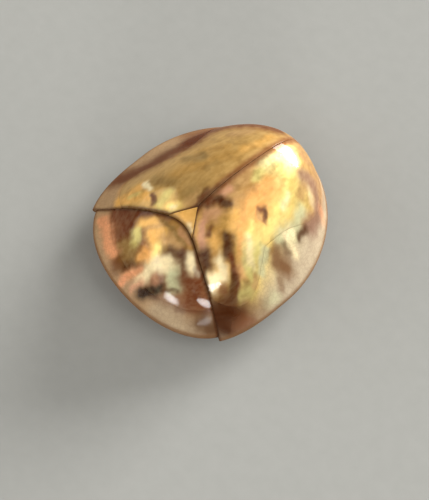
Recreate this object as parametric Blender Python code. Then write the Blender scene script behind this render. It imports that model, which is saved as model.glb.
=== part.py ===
"""A golden tortoise beetle at life size, standing on its six feet.

Metres, +Z up. The head points to -Y and the beetle's own left is +X. The origin is on the ground
under the middle of the body. The shell is two wing cases, a neck shield and the small scutellum
between them. Each is a dome with a thin brim all round, worked out as a height over its plan.
The body, head, antennae and legs are tucked below the brim.
"""

import math

import bmesh
import bpy
import numpy as np
from mathutils import Matrix, Vector

MM = 0.001

# Driving sizes of the whole beetle.
BODY_LENGTH = 6.85 * MM
BODY_WIDTH = 6.0 * MM
BODY_HEIGHT = 3.31 * MM
RIM_HEIGHT = 0.7 * MM
CUT = 0.1 * MM

# Wing cases: an oval dome about the crown. DROP is how far its curve falls by the rim, if no brim
# stopped it. Behind the crown the dome is fuller, by FILL at the rear end, and drops by FALL at last.
CROWN_Y = -0.067 * MM
HALF_WIDTH = BODY_WIDTH / 2
REAR_REACH = BODY_LENGTH / 2 - CROWN_Y
FRONT_REACH = BODY_LENGTH / 2 + CROWN_Y
REAR_POWER = 1.915
FRONT_POWER = 3.0
CASE_DROP = 3.03 * MM
REAR_FILL = 2.17 * MM
REAR_FALL = 2.0 * MM
CASE_WALL = 0.45 * MM

# Neck shield: a half oval dome that runs from the case bases to the front of the body.
SHIELD_HALF_WIDTH = 2.663 * MM
SHIELD_CENTRE_Y = -1.754 * MM
SHIELD_REACH = BODY_LENGTH / 2 + SHIELD_CENTRE_Y
SHIELD_POWER = 2.06
SHIELD_HEIGHT = 2.5 * MM
SHIELD_TILT = 0.334
SHIELD_DROP = 1.9 * MM
SHIELD_FALL = 0.37 * MM
SHIELD_WALL = 0.42 * MM
SHIELD_FILLET = 0.6 * MM

# The brim that both flare into, thick from share BRIM_START inwards and thin at its rim. Its rise
# towards the dome is less at the rear.
BRIM_START = 0.77
BRIM_RISE = 1.5 * MM
BRIM_REAR_LOSS = 0.75
BRIM_ROOT = 0.45 * MM
BRIM_TIP = 0.16 * MM
CASE_FILLET = 0.3 * MM
STEEPEST = 2.6

# The line where shield and cases meet, with a lobe in the middle and its ends turned forwards.
BASE_Y = -1.808 * MM
LOBE_REACH = 0.323 * MM
LOBE_SPREAD = 0.893 * MM
TURN_START = 0.29 * MM
TURN_SPAN = 0.95 * MM
TURN_REACH = 0.09 * MM

# Scutellum, the small triangle behind the shield's lobe.
SCUTELLUM_HALF_WIDTH = 0.453 * MM
SCUTELLUM_TIP_Y = -0.98 * MM
SCUTELLUM_WALL = 0.4 * MM

# Underside of the trunk.
BELLY_HEIGHT = 0.78 * MM
BELLY_RISE = 0.06 * MM
CASE_CORE = 0.65
SHIELD_CORE = 0.60
WAIST_Y = -0.15 * MM
COLLAR_Y = -1.87 * MM
NECK_Y = -2.13 * MM
TAIL_Y = 2.15 * MM
RING_COUNT = 5
RING_STATIONS = (0.03, 0.5, 0.97)
RING_STEP = 0.04 * MM

# Head, tipped back under the shield.
HEAD_CENTRE = Vector((0, -2.51, 0.77)) * MM
HEAD_SEMI_AXES = Vector((0.6, 0.26, 0.4)) * MM
HEAD_TILT = math.radians(-30)
EYE_CENTRE = Vector((0.5, -2.52, 0.82)) * MM
EYE_SEMI_AXES = Vector((0.16, 0.16, 0.2)) * MM
MOUTH_CENTRE = Vector((0, -2.63, 0.48)) * MM
MOUTH_SEMI_AXES = Vector((0.26, 0.17, 0.2)) * MM
JAW_ROOT = Vector((0.09, 0, -0.08)) * MM
JAW_RUN = Vector((-0.04, -0.05, -0.2)) * MM
JAW_RADIUS = 0.1 * MM

# Antennae, folded out along the underside of the shield's brim. Points are on the left side.
ANTENNA_ROOT = Vector((0.32, -2.84, 0.5)) * MM
ANTENNA_BEND = Vector((0.95, -3.15, 0.3)) * MM
ANTENNA_TIP = Vector((1.75, -2.5, 0.27)) * MM
ANTENNA_RADII = (0.21 * MM, 0.23 * MM)
ANTENNA_SEGMENTS = 11
ANTENNA_WAIST = 0.74

# Legs. Each has its hip, knee, ankle and toe given in plan on the left side, and the hips are
# set against the belly.
LEG_PLANS = {
    "front": ((0.45, -1.98), (1.12, -2.16), (1.52, -2.12), (2.08, -2.18)),
    "middle": ((0.5, -0.95), (1.5, -0.95), (2.0, -0.72), (2.6, -0.62)),
    "hind": ((0.5, -0.42), (1.45, 0.3), (1.78, 0.84), (2.12, 1.38)),
}
HIP_RADIUS = 0.24 * MM
HIP_FLATNESS = 0.85
HIP_HEIGHT = BELLY_HEIGHT - CUT - HIP_FLATNESS * HIP_RADIUS
KNEE_HEIGHT = 0.46 * MM
ANKLE_HEIGHT = 0.33 * MM
THIGH_RADII = [r * MM for r in (0.12, 0.23, 0.25, 0.22, 0.14)]
SHIN_RADII = [r * MM for r in (0.14, 0.19, 0.21, 0.22, 0.16)]
FOOT_HEIGHT = 0.4 * MM
FOOT_WALL = 0.14 * MM
# Foot joints along the run from ankle to toe: where each is centred, how long, wide and high.
FOOT_JOINTS = ((0.06, 0.42, 0.34 * MM, 1.0), (0.32, 0.40, 0.40 * MM, 0.92))
LOBE = (0.62, 0.5, 0.3 * MM, 0.85)
LOBE_OFFSET = 0.11 * MM
CLAW_ROOT = (0.78, 0.05 * MM, 0.16 * MM)
CLAW_TIP = (0.86, 0.16 * MM, 0.08 * MM)
CLAW_REACH = 0.144 * MM
CLAW_ARCH = 0.2 * MM
CLAW_RADIUS = 0.07 * MM

# Facets.
CASE_GRID = (22, 31)
SHIELD_GRID = (15, 33)
ROW_CROWDING = 0.5
BLOCK_COLUMNS = 11
CHEST_STATIONS = 9
TUBE_SIDES = 9
WELD = 1e-8


def oval_share(x, y):
    """Share of the way from the dome's top to the case rim: the superellipse level of the point."""
    back = y - CROWN_Y
    reach = np.where(back < 0, FRONT_REACH, REAR_REACH)
    power = np.where(back < 0, FRONT_POWER, REAR_POWER)
    return (np.abs(x / HALF_WIDTH) ** power + np.abs(back / reach) ** power) ** (1 / power)


def shield_share(x, y):
    """The same share for the shield, about the middle of its own oval."""
    ahead = np.minimum(y - SHIELD_CENTRE_Y, 0)
    level = np.abs(x / SHIELD_HALF_WIDTH) ** SHIELD_POWER + np.abs(ahead / SHIELD_REACH) ** SHIELD_POWER
    return level ** (1 / SHIELD_POWER)


def rearness(y):
    """Nought from the crown forwards, and one at the rear end."""
    return np.clip(y - CROWN_Y, 0, None) / REAR_REACH


def brim_height(share, rear=0.0):
    return RIM_HEIGHT + BRIM_RISE * (1 - share) * (1 - BRIM_REAR_LOSS * rear**2)


def filleted(dome, brim, fillet):
    """The higher of the two heights, with a fillet where they cross."""
    return (dome + brim + np.hypot(dome - brim, fillet)) / 2


def case_top(x, y):
    """A dome that falls with the square of share, and by its sixth power at the rear, on a brim."""
    share, rear = oval_share(x, y), rearness(y)
    dome = BODY_HEIGHT - CASE_DROP * share**2 + rear**2 * (REAR_FILL - REAR_FALL * share**6)
    return filleted(dome, brim_height(share, rear), CASE_FILLET)


def shield_top(x, y):
    """A dome tilted to the front that falls with the square and sixth power of share, on a brim."""
    share = shield_share(x, y)
    crest = SHIELD_HEIGHT + SHIELD_TILT * (y - SHIELD_CENTRE_Y)
    dome = crest - SHIELD_DROP * share**2 - SHIELD_FALL * share**6
    return filleted(dome, brim_height(share), SHIELD_FILLET)


def stretch(height, x, y):
    """How much longer a wall is measured straight down than square to the surface."""
    step = 0.01 * MM
    slope_x = (height(x + step, y) - height(x - step, y)) / (2 * step)
    slope_y = (height(x, y + step) - height(x, y - step)) / (2 * step)
    return np.minimum(np.sqrt(1 + slope_x**2 + slope_y**2), STEEPEST)


def brim_under(share, rear=0.0):
    """Underside of the brim, which thickens from its rim to its root."""
    root = np.clip((1 - share) / (1 - BRIM_START), 0, 1)
    return brim_height(share, rear) - BRIM_TIP - (BRIM_ROOT - BRIM_TIP) * root


def case_under(x, y):
    inner = case_top(x, y) - CASE_WALL * stretch(case_top, x, y)
    return np.maximum(inner, brim_under(oval_share(x, y), rearness(y)))


def shield_under(x, y):
    inner = shield_top(x, y) - SHIELD_WALL * stretch(shield_top, x, y)
    return np.maximum(inner, brim_under(shield_share(x, y)))


def base_line(x):
    """Y of the line between shield and cases."""
    turn = np.clip((np.abs(x) - TURN_START) / TURN_SPAN, 0, None)
    return BASE_Y + LOBE_REACH * np.exp(-((x / LOBE_SPREAD) ** 2)) - TURN_REACH * turn**2


def crossing(share, x_low, x_high, shift):
    """X at which the base line, moved back by shift, reaches the rim, found by halving."""
    for _ in range(50):
        middle = (x_low + x_high) / 2
        inside = share(middle, base_line(middle) + shift) < 1
        x_low, x_high = (middle, x_high) if inside else (x_low, middle)
    return x_low


def weld(points, faces):
    """Points closer than WELD made one, and the faces that this closes up dropped."""
    _, first, index = np.unique(
        np.round(points / WELD).astype(np.int64), axis=0, return_index=True, return_inverse=True
    )
    faces = index.reshape(-1)[faces]
    a, b, c = faces.T
    return points[first], faces[(a != b) & (b != c) & (a != c)]


def facing_out(points, faces):
    """The faces turned, if needed, so that the closed mesh has a positive volume."""
    volume = np.linalg.det(points[faces]).sum()
    return faces if volume > 0 else faces[:, ::-1]


def solid_between(x, y, top, under):
    """Closed mesh between two heights over one grid of plan points, split alike on both faces."""
    rows, columns = x.shape
    count = rows * columns
    points = np.concatenate([np.stack([x, y, z], -1).reshape(-1, 3) for z in (top, under)])
    grid = np.arange(count).reshape(rows, columns)
    near, right = grid[:-1, :-1].ravel(), grid[:-1, 1:].ravel()
    far, corner = grid[1:, :-1].ravel(), grid[1:, 1:].ravel()
    sheet = np.concatenate([np.stack([near, far, corner], 1), np.stack([near, corner, right], 1)])
    border = np.concatenate([grid[:-1, 0], grid[-1, :-1], grid[:0:-1, -1], grid[0, :0:-1]])
    after = np.roll(border, -1)
    wall = np.concatenate([
        np.stack([border, border + count, after], 1), np.stack([after, border + count, after + count], 1)
    ])
    points, faces = weld(points, np.concatenate([sheet, sheet[:, ::-1] + count, wall]))
    return points, facing_out(points, faces)


def mirrored(points, faces):
    return points * (-1, 1, 1), faces[:, ::-1]


def fan(centre, edge_start, rim, edge_end):
    """Plan grid of rays from centre to rim, bent near both ends to follow the two given edges."""
    share = crowded(len(edge_start))[:, None, None]
    rays = centre + share * (rim[None] - centre)
    turn = np.linspace(0, 1, len(rim))[None, :, None]
    start_bend = edge_start[:, None] - rays[:, :1]
    end_bend = edge_end[:, None] - rays[:, -1:]
    grid = rays + start_bend * (1 - turn) ** 3 + end_bend * turn**3
    return grid[..., 0], grid[..., 1]


def crowded(count):
    """Parameters from 0 to 1 that crowd towards 1, where the shell is steep."""
    even = np.linspace(0, 1, count)
    return (1 - ROW_CROWDING) * even + ROW_CROWDING * np.sin(even * math.pi / 2)


def along(corners, count):
    """Points spaced as the rows are, along a line through the given corners."""
    corners = np.asarray(corners)
    steps = np.linalg.norm(np.diff(corners, axis=0), axis=1)
    distance = np.concatenate([[0], np.cumsum(steps)])
    wanted = distance[-1] * crowded(count)
    return np.stack([np.interp(wanted, distance, corners[:, i]) for i in range(2)], -1)


def base_points(x_from, x_to, shift, count=24):
    x = np.linspace(x_from, x_to, count)
    return np.stack([x, base_line(x) + shift], -1)


def case_plan():
    """Plan grid of the left case, from its corner at the scutellum's tip out to the rim."""
    rows, columns = CASE_GRID
    shoulder_x = crossing(oval_share, BODY_WIDTH / 4, BODY_WIDTH / 2, CUT)
    shoulder = np.array([shoulder_x, base_line(shoulder_x) + CUT])
    seam_x = CUT / 2
    start = np.array([seam_x, SCUTELLUM_TIP_Y + CUT])
    corner_x = SCUTELLUM_HALF_WIDTH + CUT
    front = base_points(corner_x, shoulder_x, CUT)
    edge_start = along(np.concatenate([[start], front]), rows)
    first = math.atan2(shoulder[1] - CROWN_Y, shoulder[0])
    angle = np.linspace(first, math.pi / 2, columns)
    reach = 1 / oval_share(np.cos(angle), CROWN_Y + np.sin(angle))
    rim = np.stack([reach * np.cos(angle), CROWN_Y + reach * np.sin(angle)], -1)
    rim[:, 0] = np.maximum(rim[:, 0], seam_x)
    rim[0] = shoulder
    edge_end = along([start, rim[-1]], rows)
    return fan(start, edge_start, rim, edge_end)


def shield_plan():
    """Plan grid of the whole shield, from the middle of its hind edge out to the rim."""
    rows, columns = SHIELD_GRID
    corner_x = crossing(shield_share, BODY_WIDTH / 4, BODY_WIDTH / 2, -CUT / 2)
    centre = np.array([0, base_line(0.0)])
    edge_start = along(base_points(0, corner_x, 0), rows)
    edge_end = edge_start * (-1, 1)
    first = math.atan2(edge_start[-1, 1] - SHIELD_CENTRE_Y, corner_x)
    angle = np.linspace(first, -math.pi - first, columns)
    reach = 1 / shield_share(np.cos(angle), SHIELD_CENTRE_Y + np.sin(angle))
    rim = np.stack([reach * np.cos(angle), SHIELD_CENTRE_Y + reach * np.sin(angle)], -1)
    rim[0], rim[-1] = edge_start[-1], edge_end[-1]
    return fan(centre, edge_start, rim, edge_end)


def scutellum_plan():
    """Plan grid of the scutellum, from its tip forwards to the shield."""
    x = np.linspace(-SCUTELLUM_HALF_WIDTH, SCUTELLUM_HALF_WIDTH, 9)
    base = np.stack([x, base_line(x) + CUT], -1)
    tip = np.array([0, SCUTELLUM_TIP_Y])
    share = np.linspace(0, 1, 5)[:, None, None]
    grid = tip + share * (base[None] - tip)
    return grid[..., 0], grid[..., 1]


def belly(x, y, half_width):
    return BELLY_HEIGHT + BELLY_RISE * (x / half_width) ** 2


def ringed_belly(x, y, half_width):
    """Underside of the abdomen, each ring stepping a little below the next."""
    ring = (y - WAIST_Y - CUT / 2) / (TAIL_Y - WAIST_Y - CUT / 2) * RING_COUNT
    return belly(x, y, half_width) + RING_STEP * (1 - ring % 1)


def ring_stations():
    """Lengthwise stations of the abdomen, close on both sides of each step between its rings."""
    share = (np.arange(RING_COUNT)[:, None] + np.array(RING_STATIONS)[None, :]).ravel() / RING_COUNT
    return WAIST_Y + CUT / 2 + (TAIL_Y - WAIST_Y - CUT / 2) * share


def core_half_width(y):
    """Half width of the trunk below the cases."""
    back = y - CROWN_Y
    reach = np.where(back < 0, FRONT_REACH, REAR_REACH)
    power = np.where(back < 0, FRONT_POWER, REAR_POWER)
    return HALF_WIDTH * (CASE_CORE**power - np.abs(back / reach) ** power) ** (1 / power)


def neck_half_width(y):
    """Half width of the trunk below the shield."""
    ahead = np.minimum(y - SHIELD_CENTRE_Y, 0)
    level = SHIELD_CORE**SHIELD_POWER - np.abs(ahead / SHIELD_REACH) ** SHIELD_POWER
    return SHIELD_HALF_WIDTH * level ** (1 / SHIELD_POWER)


def block(y, half_width, roof_top, roof_under, floor):
    """A length of the trunk, filling the room under its roof down to the belly."""
    side = np.linspace(-1, 1, BLOCK_COLUMNS)[None, :]
    y = np.asarray(y)[:, None] + 0 * side
    width = half_width(y)
    x = side * width
    roof = roof_under(x, y) - CUT * stretch(roof_top, x, y)
    under = floor(x, y, width)
    return solid_between(x, y, roof, under)


def ellipsoid(centre, semi_axes, tilt=0.0, rings=8, sides=12):
    """Closed ellipsoid, tipped about X."""
    shape = bmesh.new()
    place = Matrix.Translation(centre) @ Matrix.Rotation(tilt, 4, "X") @ Matrix.Diagonal((*semi_axes, 1))
    bmesh.ops.create_uvsphere(shape, u_segments=sides, v_segments=rings, radius=1, matrix=place)
    bmesh.ops.triangulate(shape, faces=shape.faces)
    shape.verts.ensure_lookup_table()
    points = np.array([v.co for v in shape.verts], float)
    faces = np.array([[v.index for v in f.verts] for f in shape.faces])
    shape.free()
    return points, facing_out(points, faces)


def tube(path, radii, sides=TUBE_SIDES, squash=1.0):
    """Closed round bar along path, closed to a point at each end, squash times as high as wide."""
    path = np.asarray(path, float)
    radii = np.asarray(radii)[:, None, None]
    forward = np.gradient(path, axis=0)
    forward /= np.linalg.norm(forward, axis=1)[:, None]
    across = np.cross(forward, (0, 0, 1))
    across /= np.linalg.norm(across, axis=1)[:, None]
    upward = np.cross(across, forward)
    turn = np.linspace(0, 2 * math.pi, sides, endpoint=False)[None, :, None]
    ring = across[:, None] * np.cos(turn) + upward[:, None] * np.sin(turn) * squash
    rings = path[:, None] + radii * ring
    count = len(path) * sides
    points = np.concatenate([rings.reshape(-1, 3), path[:1], path[-1:]])
    grid = np.arange(count).reshape(len(path), sides)
    following = np.roll(grid, -1, axis=1)
    a, b = grid[:-1].ravel(), following[:-1].ravel()
    c, d = grid[1:].ravel(), following[1:].ravel()
    start = np.stack([following[0], grid[0], np.full(sides, count)], 1)
    end = np.stack([grid[-1], following[-1], np.full(sides, count + 1)], 1)
    faces = np.concatenate([np.stack([a, b, d], 1), np.stack([a, d, c], 1), start, end])
    return points, facing_out(points, faces)


def limb(start, end, radii):
    """A limb piece between two joints, its radii evenly spaced along it."""
    share = np.linspace(0, 1, len(radii))[:, None]
    return tube(np.array(start) + share * (np.array(end) - np.array(start)), radii)


def pad(centre, heading, length, width, height):
    """A foot joint: a low loaf on a flat oval sole at ground level."""
    turn = np.linspace(0, 2 * math.pi, 11)[None, :]
    share = np.array([0, 0.6, 0.9, 1])[:, None]
    lengthwise = share * np.cos(turn) * length / 2
    sideways = share * np.sin(turn) * width / 2
    x = centre[0] + lengthwise * heading[0] - sideways * heading[1]
    y = centre[1] + lengthwise * heading[1] + sideways * heading[0]
    crown = FOOT_WALL + (height - FOOT_WALL) * np.sqrt(1 - share**2) + 0 * turn
    return loaf(x, y, crown)


def loaf(x, y, crown):
    """Closed mesh over a polar grid of plan points whose last column repeats its first."""
    rows, columns = x.shape
    points = np.concatenate([np.stack([x, y, z], -1)[:, :-1].reshape(-1, 3) for z in (crown, 0 * crown)])
    columns -= 1
    grid = np.arange(rows * columns).reshape(rows, columns)
    following = np.roll(grid, -1, axis=1)
    a, b = grid[:-1].ravel(), following[:-1].ravel()
    c, d = grid[1:].ravel(), following[1:].ravel()
    sheet = np.concatenate([np.stack([a, c, d], 1), np.stack([a, d, b], 1)])
    count = rows * columns
    rim, after = grid[-1], following[-1]
    wall = np.concatenate([
        np.stack([rim, rim + count, after], 1), np.stack([after, rim + count, after + count], 1)
    ])
    points, faces = weld(points, np.concatenate([sheet, sheet[:, ::-1] + count, wall]))
    return points, facing_out(points, faces)


def foot_pieces(ankle, toe):
    """Foot joints from ankle to toe: two short ones, a two-lobed one, and the claw joint."""
    run = np.array(toe - ankle)[:2]
    length = np.linalg.norm(run)
    heading = run / length
    sideways = np.array([-heading[1], heading[0]])

    def spot(share, offset=0.0):
        return np.array(ankle)[:2] + run * share + sideways * offset

    def joint(share, long, wide, high, offset=0.0):
        return pad(spot(share, offset), heading, long * length, wide, high * FOOT_HEIGHT)

    pieces = [joint(*sizes) for sizes in FOOT_JOINTS]
    for side in (-1, 1):
        pieces.append(joint(*LOBE, side * LOBE_OFFSET))
        root = spot(CLAW_ROOT[0], side * CLAW_ROOT[1])
        tip = spot(CLAW_TIP[0], side * CLAW_TIP[1]) + heading * CLAW_REACH
        points = [(*root, CLAW_ROOT[2]), (*(root * 0.4 + tip * 0.6), CLAW_ARCH), (*tip, CLAW_TIP[2])]
        pieces.append(tube(points, (CLAW_RADIUS, CLAW_RADIUS, 0.3 * CLAW_RADIUS), sides=6))
    return pieces


def leg_pieces(hip, knee, ankle, toe):
    """Hip, thigh and shin of a left leg with its foot."""
    hip_ball = ellipsoid(hip, Vector((1, 1, HIP_FLATNESS)) * HIP_RADIUS, rings=6, sides=9)
    return [
        limb(hip, knee, THIGH_RADII),
        hip_ball,
        limb(knee - (ankle - knee) * 0.12, ankle + (ankle - knee) * 0.1, SHIN_RADII),
        *foot_pieces(ankle, toe),
    ]


def antenna():
    """A beaded feeler along one smooth bend, its joints widening towards their outer ends."""
    stations = 2 * ANTENNA_SEGMENTS + 1
    share = np.linspace(0, 1, stations)[:, None]
    root, bend, tip = (np.array(p) for p in (ANTENNA_ROOT, ANTENNA_BEND, ANTENNA_TIP))
    path = (1 - share) ** 2 * root + 2 * share * (1 - share) * bend + share**2 * tip
    full = np.linspace(*ANTENNA_RADII, stations)
    bead = np.where(np.arange(stations) % 2 == 0, ANTENNA_WAIST, 1.0)
    bead[-1] = 0.35
    return tube(path, full * bead)


def make_mesh(name, points, faces):
    mesh = bpy.data.meshes.new(name)
    mesh.from_pydata(points.tolist(), [], faces.tolist())
    return mesh


def boolean(name, first, others, operation):
    """One closed mesh from first and the others, joined or cut by a single modifier."""
    base = bpy.data.objects.new(name, make_mesh(name, *first))
    bpy.context.scene.collection.objects.link(base)
    group = bpy.data.collections.new(name + "_pieces")
    bpy.context.scene.collection.children.link(group)
    for index, piece in enumerate(others):
        group.objects.link(bpy.data.objects.new(f"{name}_{index}", make_mesh(name, *piece)))
    modifier = base.modifiers.new("join", "BOOLEAN")
    modifier.operation = operation
    modifier.operand_type = "COLLECTION"
    modifier.collection = group
    modifier.solver = "EXACT"
    graph = bpy.context.evaluated_depsgraph_get()
    joined = bpy.data.meshes.new_from_object(base.evaluated_get(graph))
    for piece in [base, *group.objects]:
        bpy.data.objects.remove(piece)
    bpy.data.collections.remove(group)
    return largest_surface(joined)


def largest_surface(mesh):
    """Points and faces of the largest closed surface in mesh."""
    shape = bmesh.new()
    shape.from_mesh(mesh)
    bmesh.ops.triangulate(shape, faces=shape.faces)
    seen, best = set(), []
    for vertex in shape.verts:
        if vertex in seen:
            continue
        island, queue = {vertex}, [vertex]
        while queue:
            for edge in queue.pop().link_edges:
                for end in edge.verts:
                    if end not in island:
                        island.add(end)
                        queue.append(end)
        seen |= island
        best = max(best, list(island), key=len)
    bmesh.ops.delete(shape, geom=list(set(shape.verts) - set(best)), context="VERTS")
    shape.verts.index_update()
    points = np.array([v.co for v in shape.verts], float)
    faces = np.array([[v.index for v in f.verts] for f in shape.faces])
    shape.free()
    return weld(points, faces)


def material(name, colour, roughness, metallic):
    made = bpy.data.materials.new(name)
    made.use_nodes = True
    shader = made.node_tree.nodes["Principled BSDF"]
    shader.inputs["Base Color"].default_value = (*colour, 1)
    shader.inputs["Roughness"].default_value = roughness
    shader.inputs["Metallic"].default_value = metallic
    return made


def add_part(name, shape, finish, parent, smooth_below=35):
    """A named object of one closed mesh, smooth except at its sharp edges."""
    mesh = make_mesh(name, *shape)
    mesh.materials.append(finish)
    mesh.shade_smooth()
    mesh.set_sharp_from_angle(angle=math.radians(smooth_below))
    made = bpy.data.objects.new(name, mesh)
    bpy.context.scene.collection.objects.link(made)
    made.parent = parent
    return made


def add_pair(name, shape, finish, parent):
    """The part on the beetle's left and its mirror image on the right."""
    add_part(name + "_left", shape, finish, parent)
    add_part(name + "_right", mirrored(*shape), finish, parent)


def add_shell(parent, gold, amber):
    x, y = case_plan()
    add_pair("elytron", solid_between(x, y, case_top(x, y), case_under(x, y)), gold, parent)
    x, y = shield_plan()
    add_part("pronotum", solid_between(x, y, shield_top(x, y), shield_under(x, y)), gold, parent)
    x, y = scutellum_plan()
    top = case_top(x, y)
    add_part("scutellum", solid_between(x, y, top, top - SCUTELLUM_WALL), amber, parent)


def add_trunk(parent, brown):
    gap = CUT / 2
    neck = np.linspace(NECK_Y, COLLAR_Y - gap, 4)
    add_part(
        "prosternum", block(neck, neck_half_width, shield_top, shield_under, belly), brown, parent
    )
    chest = np.linspace(COLLAR_Y + gap, WAIST_Y - gap, CHEST_STATIONS)
    add_part("thorax", block(chest, core_half_width, case_top, chest_roof, belly), brown, parent)
    add_part(
        "abdomen", block(ring_stations(), core_half_width, case_top, case_under, ringed_belly), brown, parent
    )


def chest_roof(x, y):
    """Roof over the chest: the cases, and the scutellum where that hangs lower."""
    return np.minimum(case_under(x, y), case_top(x, y) - SCUTELLUM_WALL * stretch(case_top, x, y))


def add_head(parent, amber, black):
    skull = ellipsoid(HEAD_CENTRE, HEAD_SEMI_AXES, HEAD_TILT, rings=10, sides=18)
    mouth = ellipsoid(MOUTH_CENTRE, MOUTH_SEMI_AXES)
    jaws = []
    for side in (-1, 1):
        turned = Matrix.Diagonal((side, 1, 1))
        root = MOUTH_CENTRE + turned @ JAW_ROOT
        jaws.append(limb(root, root + turned @ JAW_RUN, (JAW_RADIUS, JAW_RADIUS, 0.4 * JAW_RADIUS)))
    head = boolean("head_blank", skull, [mouth, *jaws], "UNION")
    eye = ellipsoid(EYE_CENTRE, EYE_SEMI_AXES)
    socket = ellipsoid(EYE_CENTRE, EYE_SEMI_AXES + Vector((CUT, CUT, CUT)))
    head = boolean("head_cut", head, [socket, mirrored(*socket)], "DIFFERENCE")
    add_part("head", head, amber, parent)
    add_pair("eye", eye, black, parent)
    add_pair("antenna", antenna(), amber, parent)


def add_legs(parent, brown):
    heights = (HIP_HEIGHT, KNEE_HEIGHT, ANKLE_HEIGHT, 0)
    for name, plan in LEG_PLANS.items():
        joints = [Vector((x * MM, y * MM, z)) for (x, y), z in zip(plan, heights)]
        first, *others = leg_pieces(*joints)
        add_pair(f"leg_{name}", boolean(f"leg_{name}_blank", first, others, "UNION"), brown, parent)


def main():
    for old in list(bpy.data.objects):
        bpy.data.objects.remove(old)
    beetle = bpy.data.objects.new("tortoise_beetle", None)
    bpy.context.scene.collection.objects.link(beetle)
    gold = material("mirror_gold_cuticle", (0.72, 0.47, 0.12), 0.16, 0.9)
    amber = material("amber_cuticle", (0.35, 0.17, 0.05), 0.3, 0.0)
    brown = material("brown_cuticle", (0.12, 0.05, 0.02), 0.35, 0.0)
    black = material("black_eye", (0.01, 0.008, 0.006), 0.12, 0.0)
    add_shell(beetle, gold, amber)
    add_trunk(beetle, brown)
    add_head(beetle, amber, black)
    add_legs(beetle, brown)


main()
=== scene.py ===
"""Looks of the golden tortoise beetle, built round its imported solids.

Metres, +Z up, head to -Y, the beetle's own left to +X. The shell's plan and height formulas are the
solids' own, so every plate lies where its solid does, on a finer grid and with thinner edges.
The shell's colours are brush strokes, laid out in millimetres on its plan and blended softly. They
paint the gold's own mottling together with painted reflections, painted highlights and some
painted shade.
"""

import math

import bpy
import numpy as np
from mathutils import Matrix, Quaternion, Vector


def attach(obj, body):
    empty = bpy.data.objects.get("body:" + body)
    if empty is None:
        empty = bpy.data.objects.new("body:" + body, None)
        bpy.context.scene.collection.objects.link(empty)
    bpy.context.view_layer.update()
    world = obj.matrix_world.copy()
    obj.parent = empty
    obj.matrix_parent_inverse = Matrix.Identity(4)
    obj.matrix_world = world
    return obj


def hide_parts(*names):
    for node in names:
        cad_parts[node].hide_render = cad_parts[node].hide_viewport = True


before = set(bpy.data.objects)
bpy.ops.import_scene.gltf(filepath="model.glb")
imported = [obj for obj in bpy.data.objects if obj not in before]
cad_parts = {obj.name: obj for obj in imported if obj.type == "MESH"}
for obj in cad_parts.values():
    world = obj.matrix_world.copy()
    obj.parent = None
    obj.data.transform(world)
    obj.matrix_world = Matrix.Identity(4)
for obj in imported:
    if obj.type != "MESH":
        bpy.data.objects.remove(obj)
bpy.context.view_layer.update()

MM = 0.001

# Shell sizes, the same as the solids'.
BODY_LENGTH = 6.85 * MM
BODY_WIDTH = 6.0 * MM
BODY_HEIGHT = 3.31 * MM
RIM_HEIGHT = 0.7 * MM
CROWN_Y = -0.067 * MM
HALF_WIDTH = BODY_WIDTH / 2
REAR_REACH = BODY_LENGTH / 2 - CROWN_Y
FRONT_REACH = BODY_LENGTH / 2 + CROWN_Y
REAR_POWER = 1.915
FRONT_POWER = 3.0
CASE_DROP = 3.03 * MM
REAR_FILL = 2.17 * MM
REAR_FALL = 2.0 * MM
SHIELD_HALF_WIDTH = 2.663 * MM
SHIELD_CENTRE_Y = -1.754 * MM
SHIELD_REACH = BODY_LENGTH / 2 + SHIELD_CENTRE_Y
SHIELD_POWER = 2.06
SHIELD_HEIGHT = 2.5 * MM
SHIELD_TILT = 0.334
SHIELD_DROP = 1.9 * MM
SHIELD_FALL = 0.37 * MM
BRIM_RISE = 1.5 * MM
BRIM_REAR_LOSS = 0.75
CASE_FILLET = 0.3 * MM
SHIELD_FILLET = 0.6 * MM
BASE_Y = -1.808 * MM
LOBE_REACH = 0.323 * MM
LOBE_SPREAD = 0.893 * MM
TURN_START = 0.29 * MM
TURN_SPAN = 0.95 * MM
TURN_REACH = 0.09 * MM
SCUTELLUM_HALF_WIDTH = 0.453 * MM
SCUTELLUM_TIP_Y = -0.98 * MM
SCUTELLUM_DEPTH = 0.3 * MM

# Where the golden disc of a case or of the shield gives way to the clear brim, as a share. A case's
# disc reaches further out at the rear and at the shoulder, and less far at its waist between them.
CASE_EDGE = 0.74
CASE_EDGE_REAR = 0.2
CASE_EDGE_SHOULDER = 0.1
CASE_EDGE_WAIST = 0.14
SHOULDER_SPAN = 0.8
SHIELD_EDGE = 0.77

# Walls and joints of the shell as the eye sees them.
CASE_WALL = 0.45 * MM
SHIELD_WALL = 0.42 * MM
BRIM_START = 0.77
BRIM_ROOT = 0.45 * MM
BRIM_TIP = 0.12 * MM
THINNEST = 0.01 * MM
SEAM = 0.006 * MM
SPLIT = 0.003 * MM
EDGE_ROUND = 0.022 * MM
STEEPEST = 2.6
CREASE = math.radians(50)

# Steps of a plate's plan: its disc ends just short of 1, and its brim runs on to 2.
DISC_STEPS = (0.0, 0.9999)
NARROWEST_CASE_BRIM = 0.2
CASE_BRIM_STEPS = (1 + SPLIT / (NARROWEST_CASE_BRIM * HALF_WIDTH), 2.0)
SHIELD_BRIM_STEPS = (1 + SPLIT / ((1 - SHIELD_EDGE) * SHIELD_HALF_WIDTH), 2.0)

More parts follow.
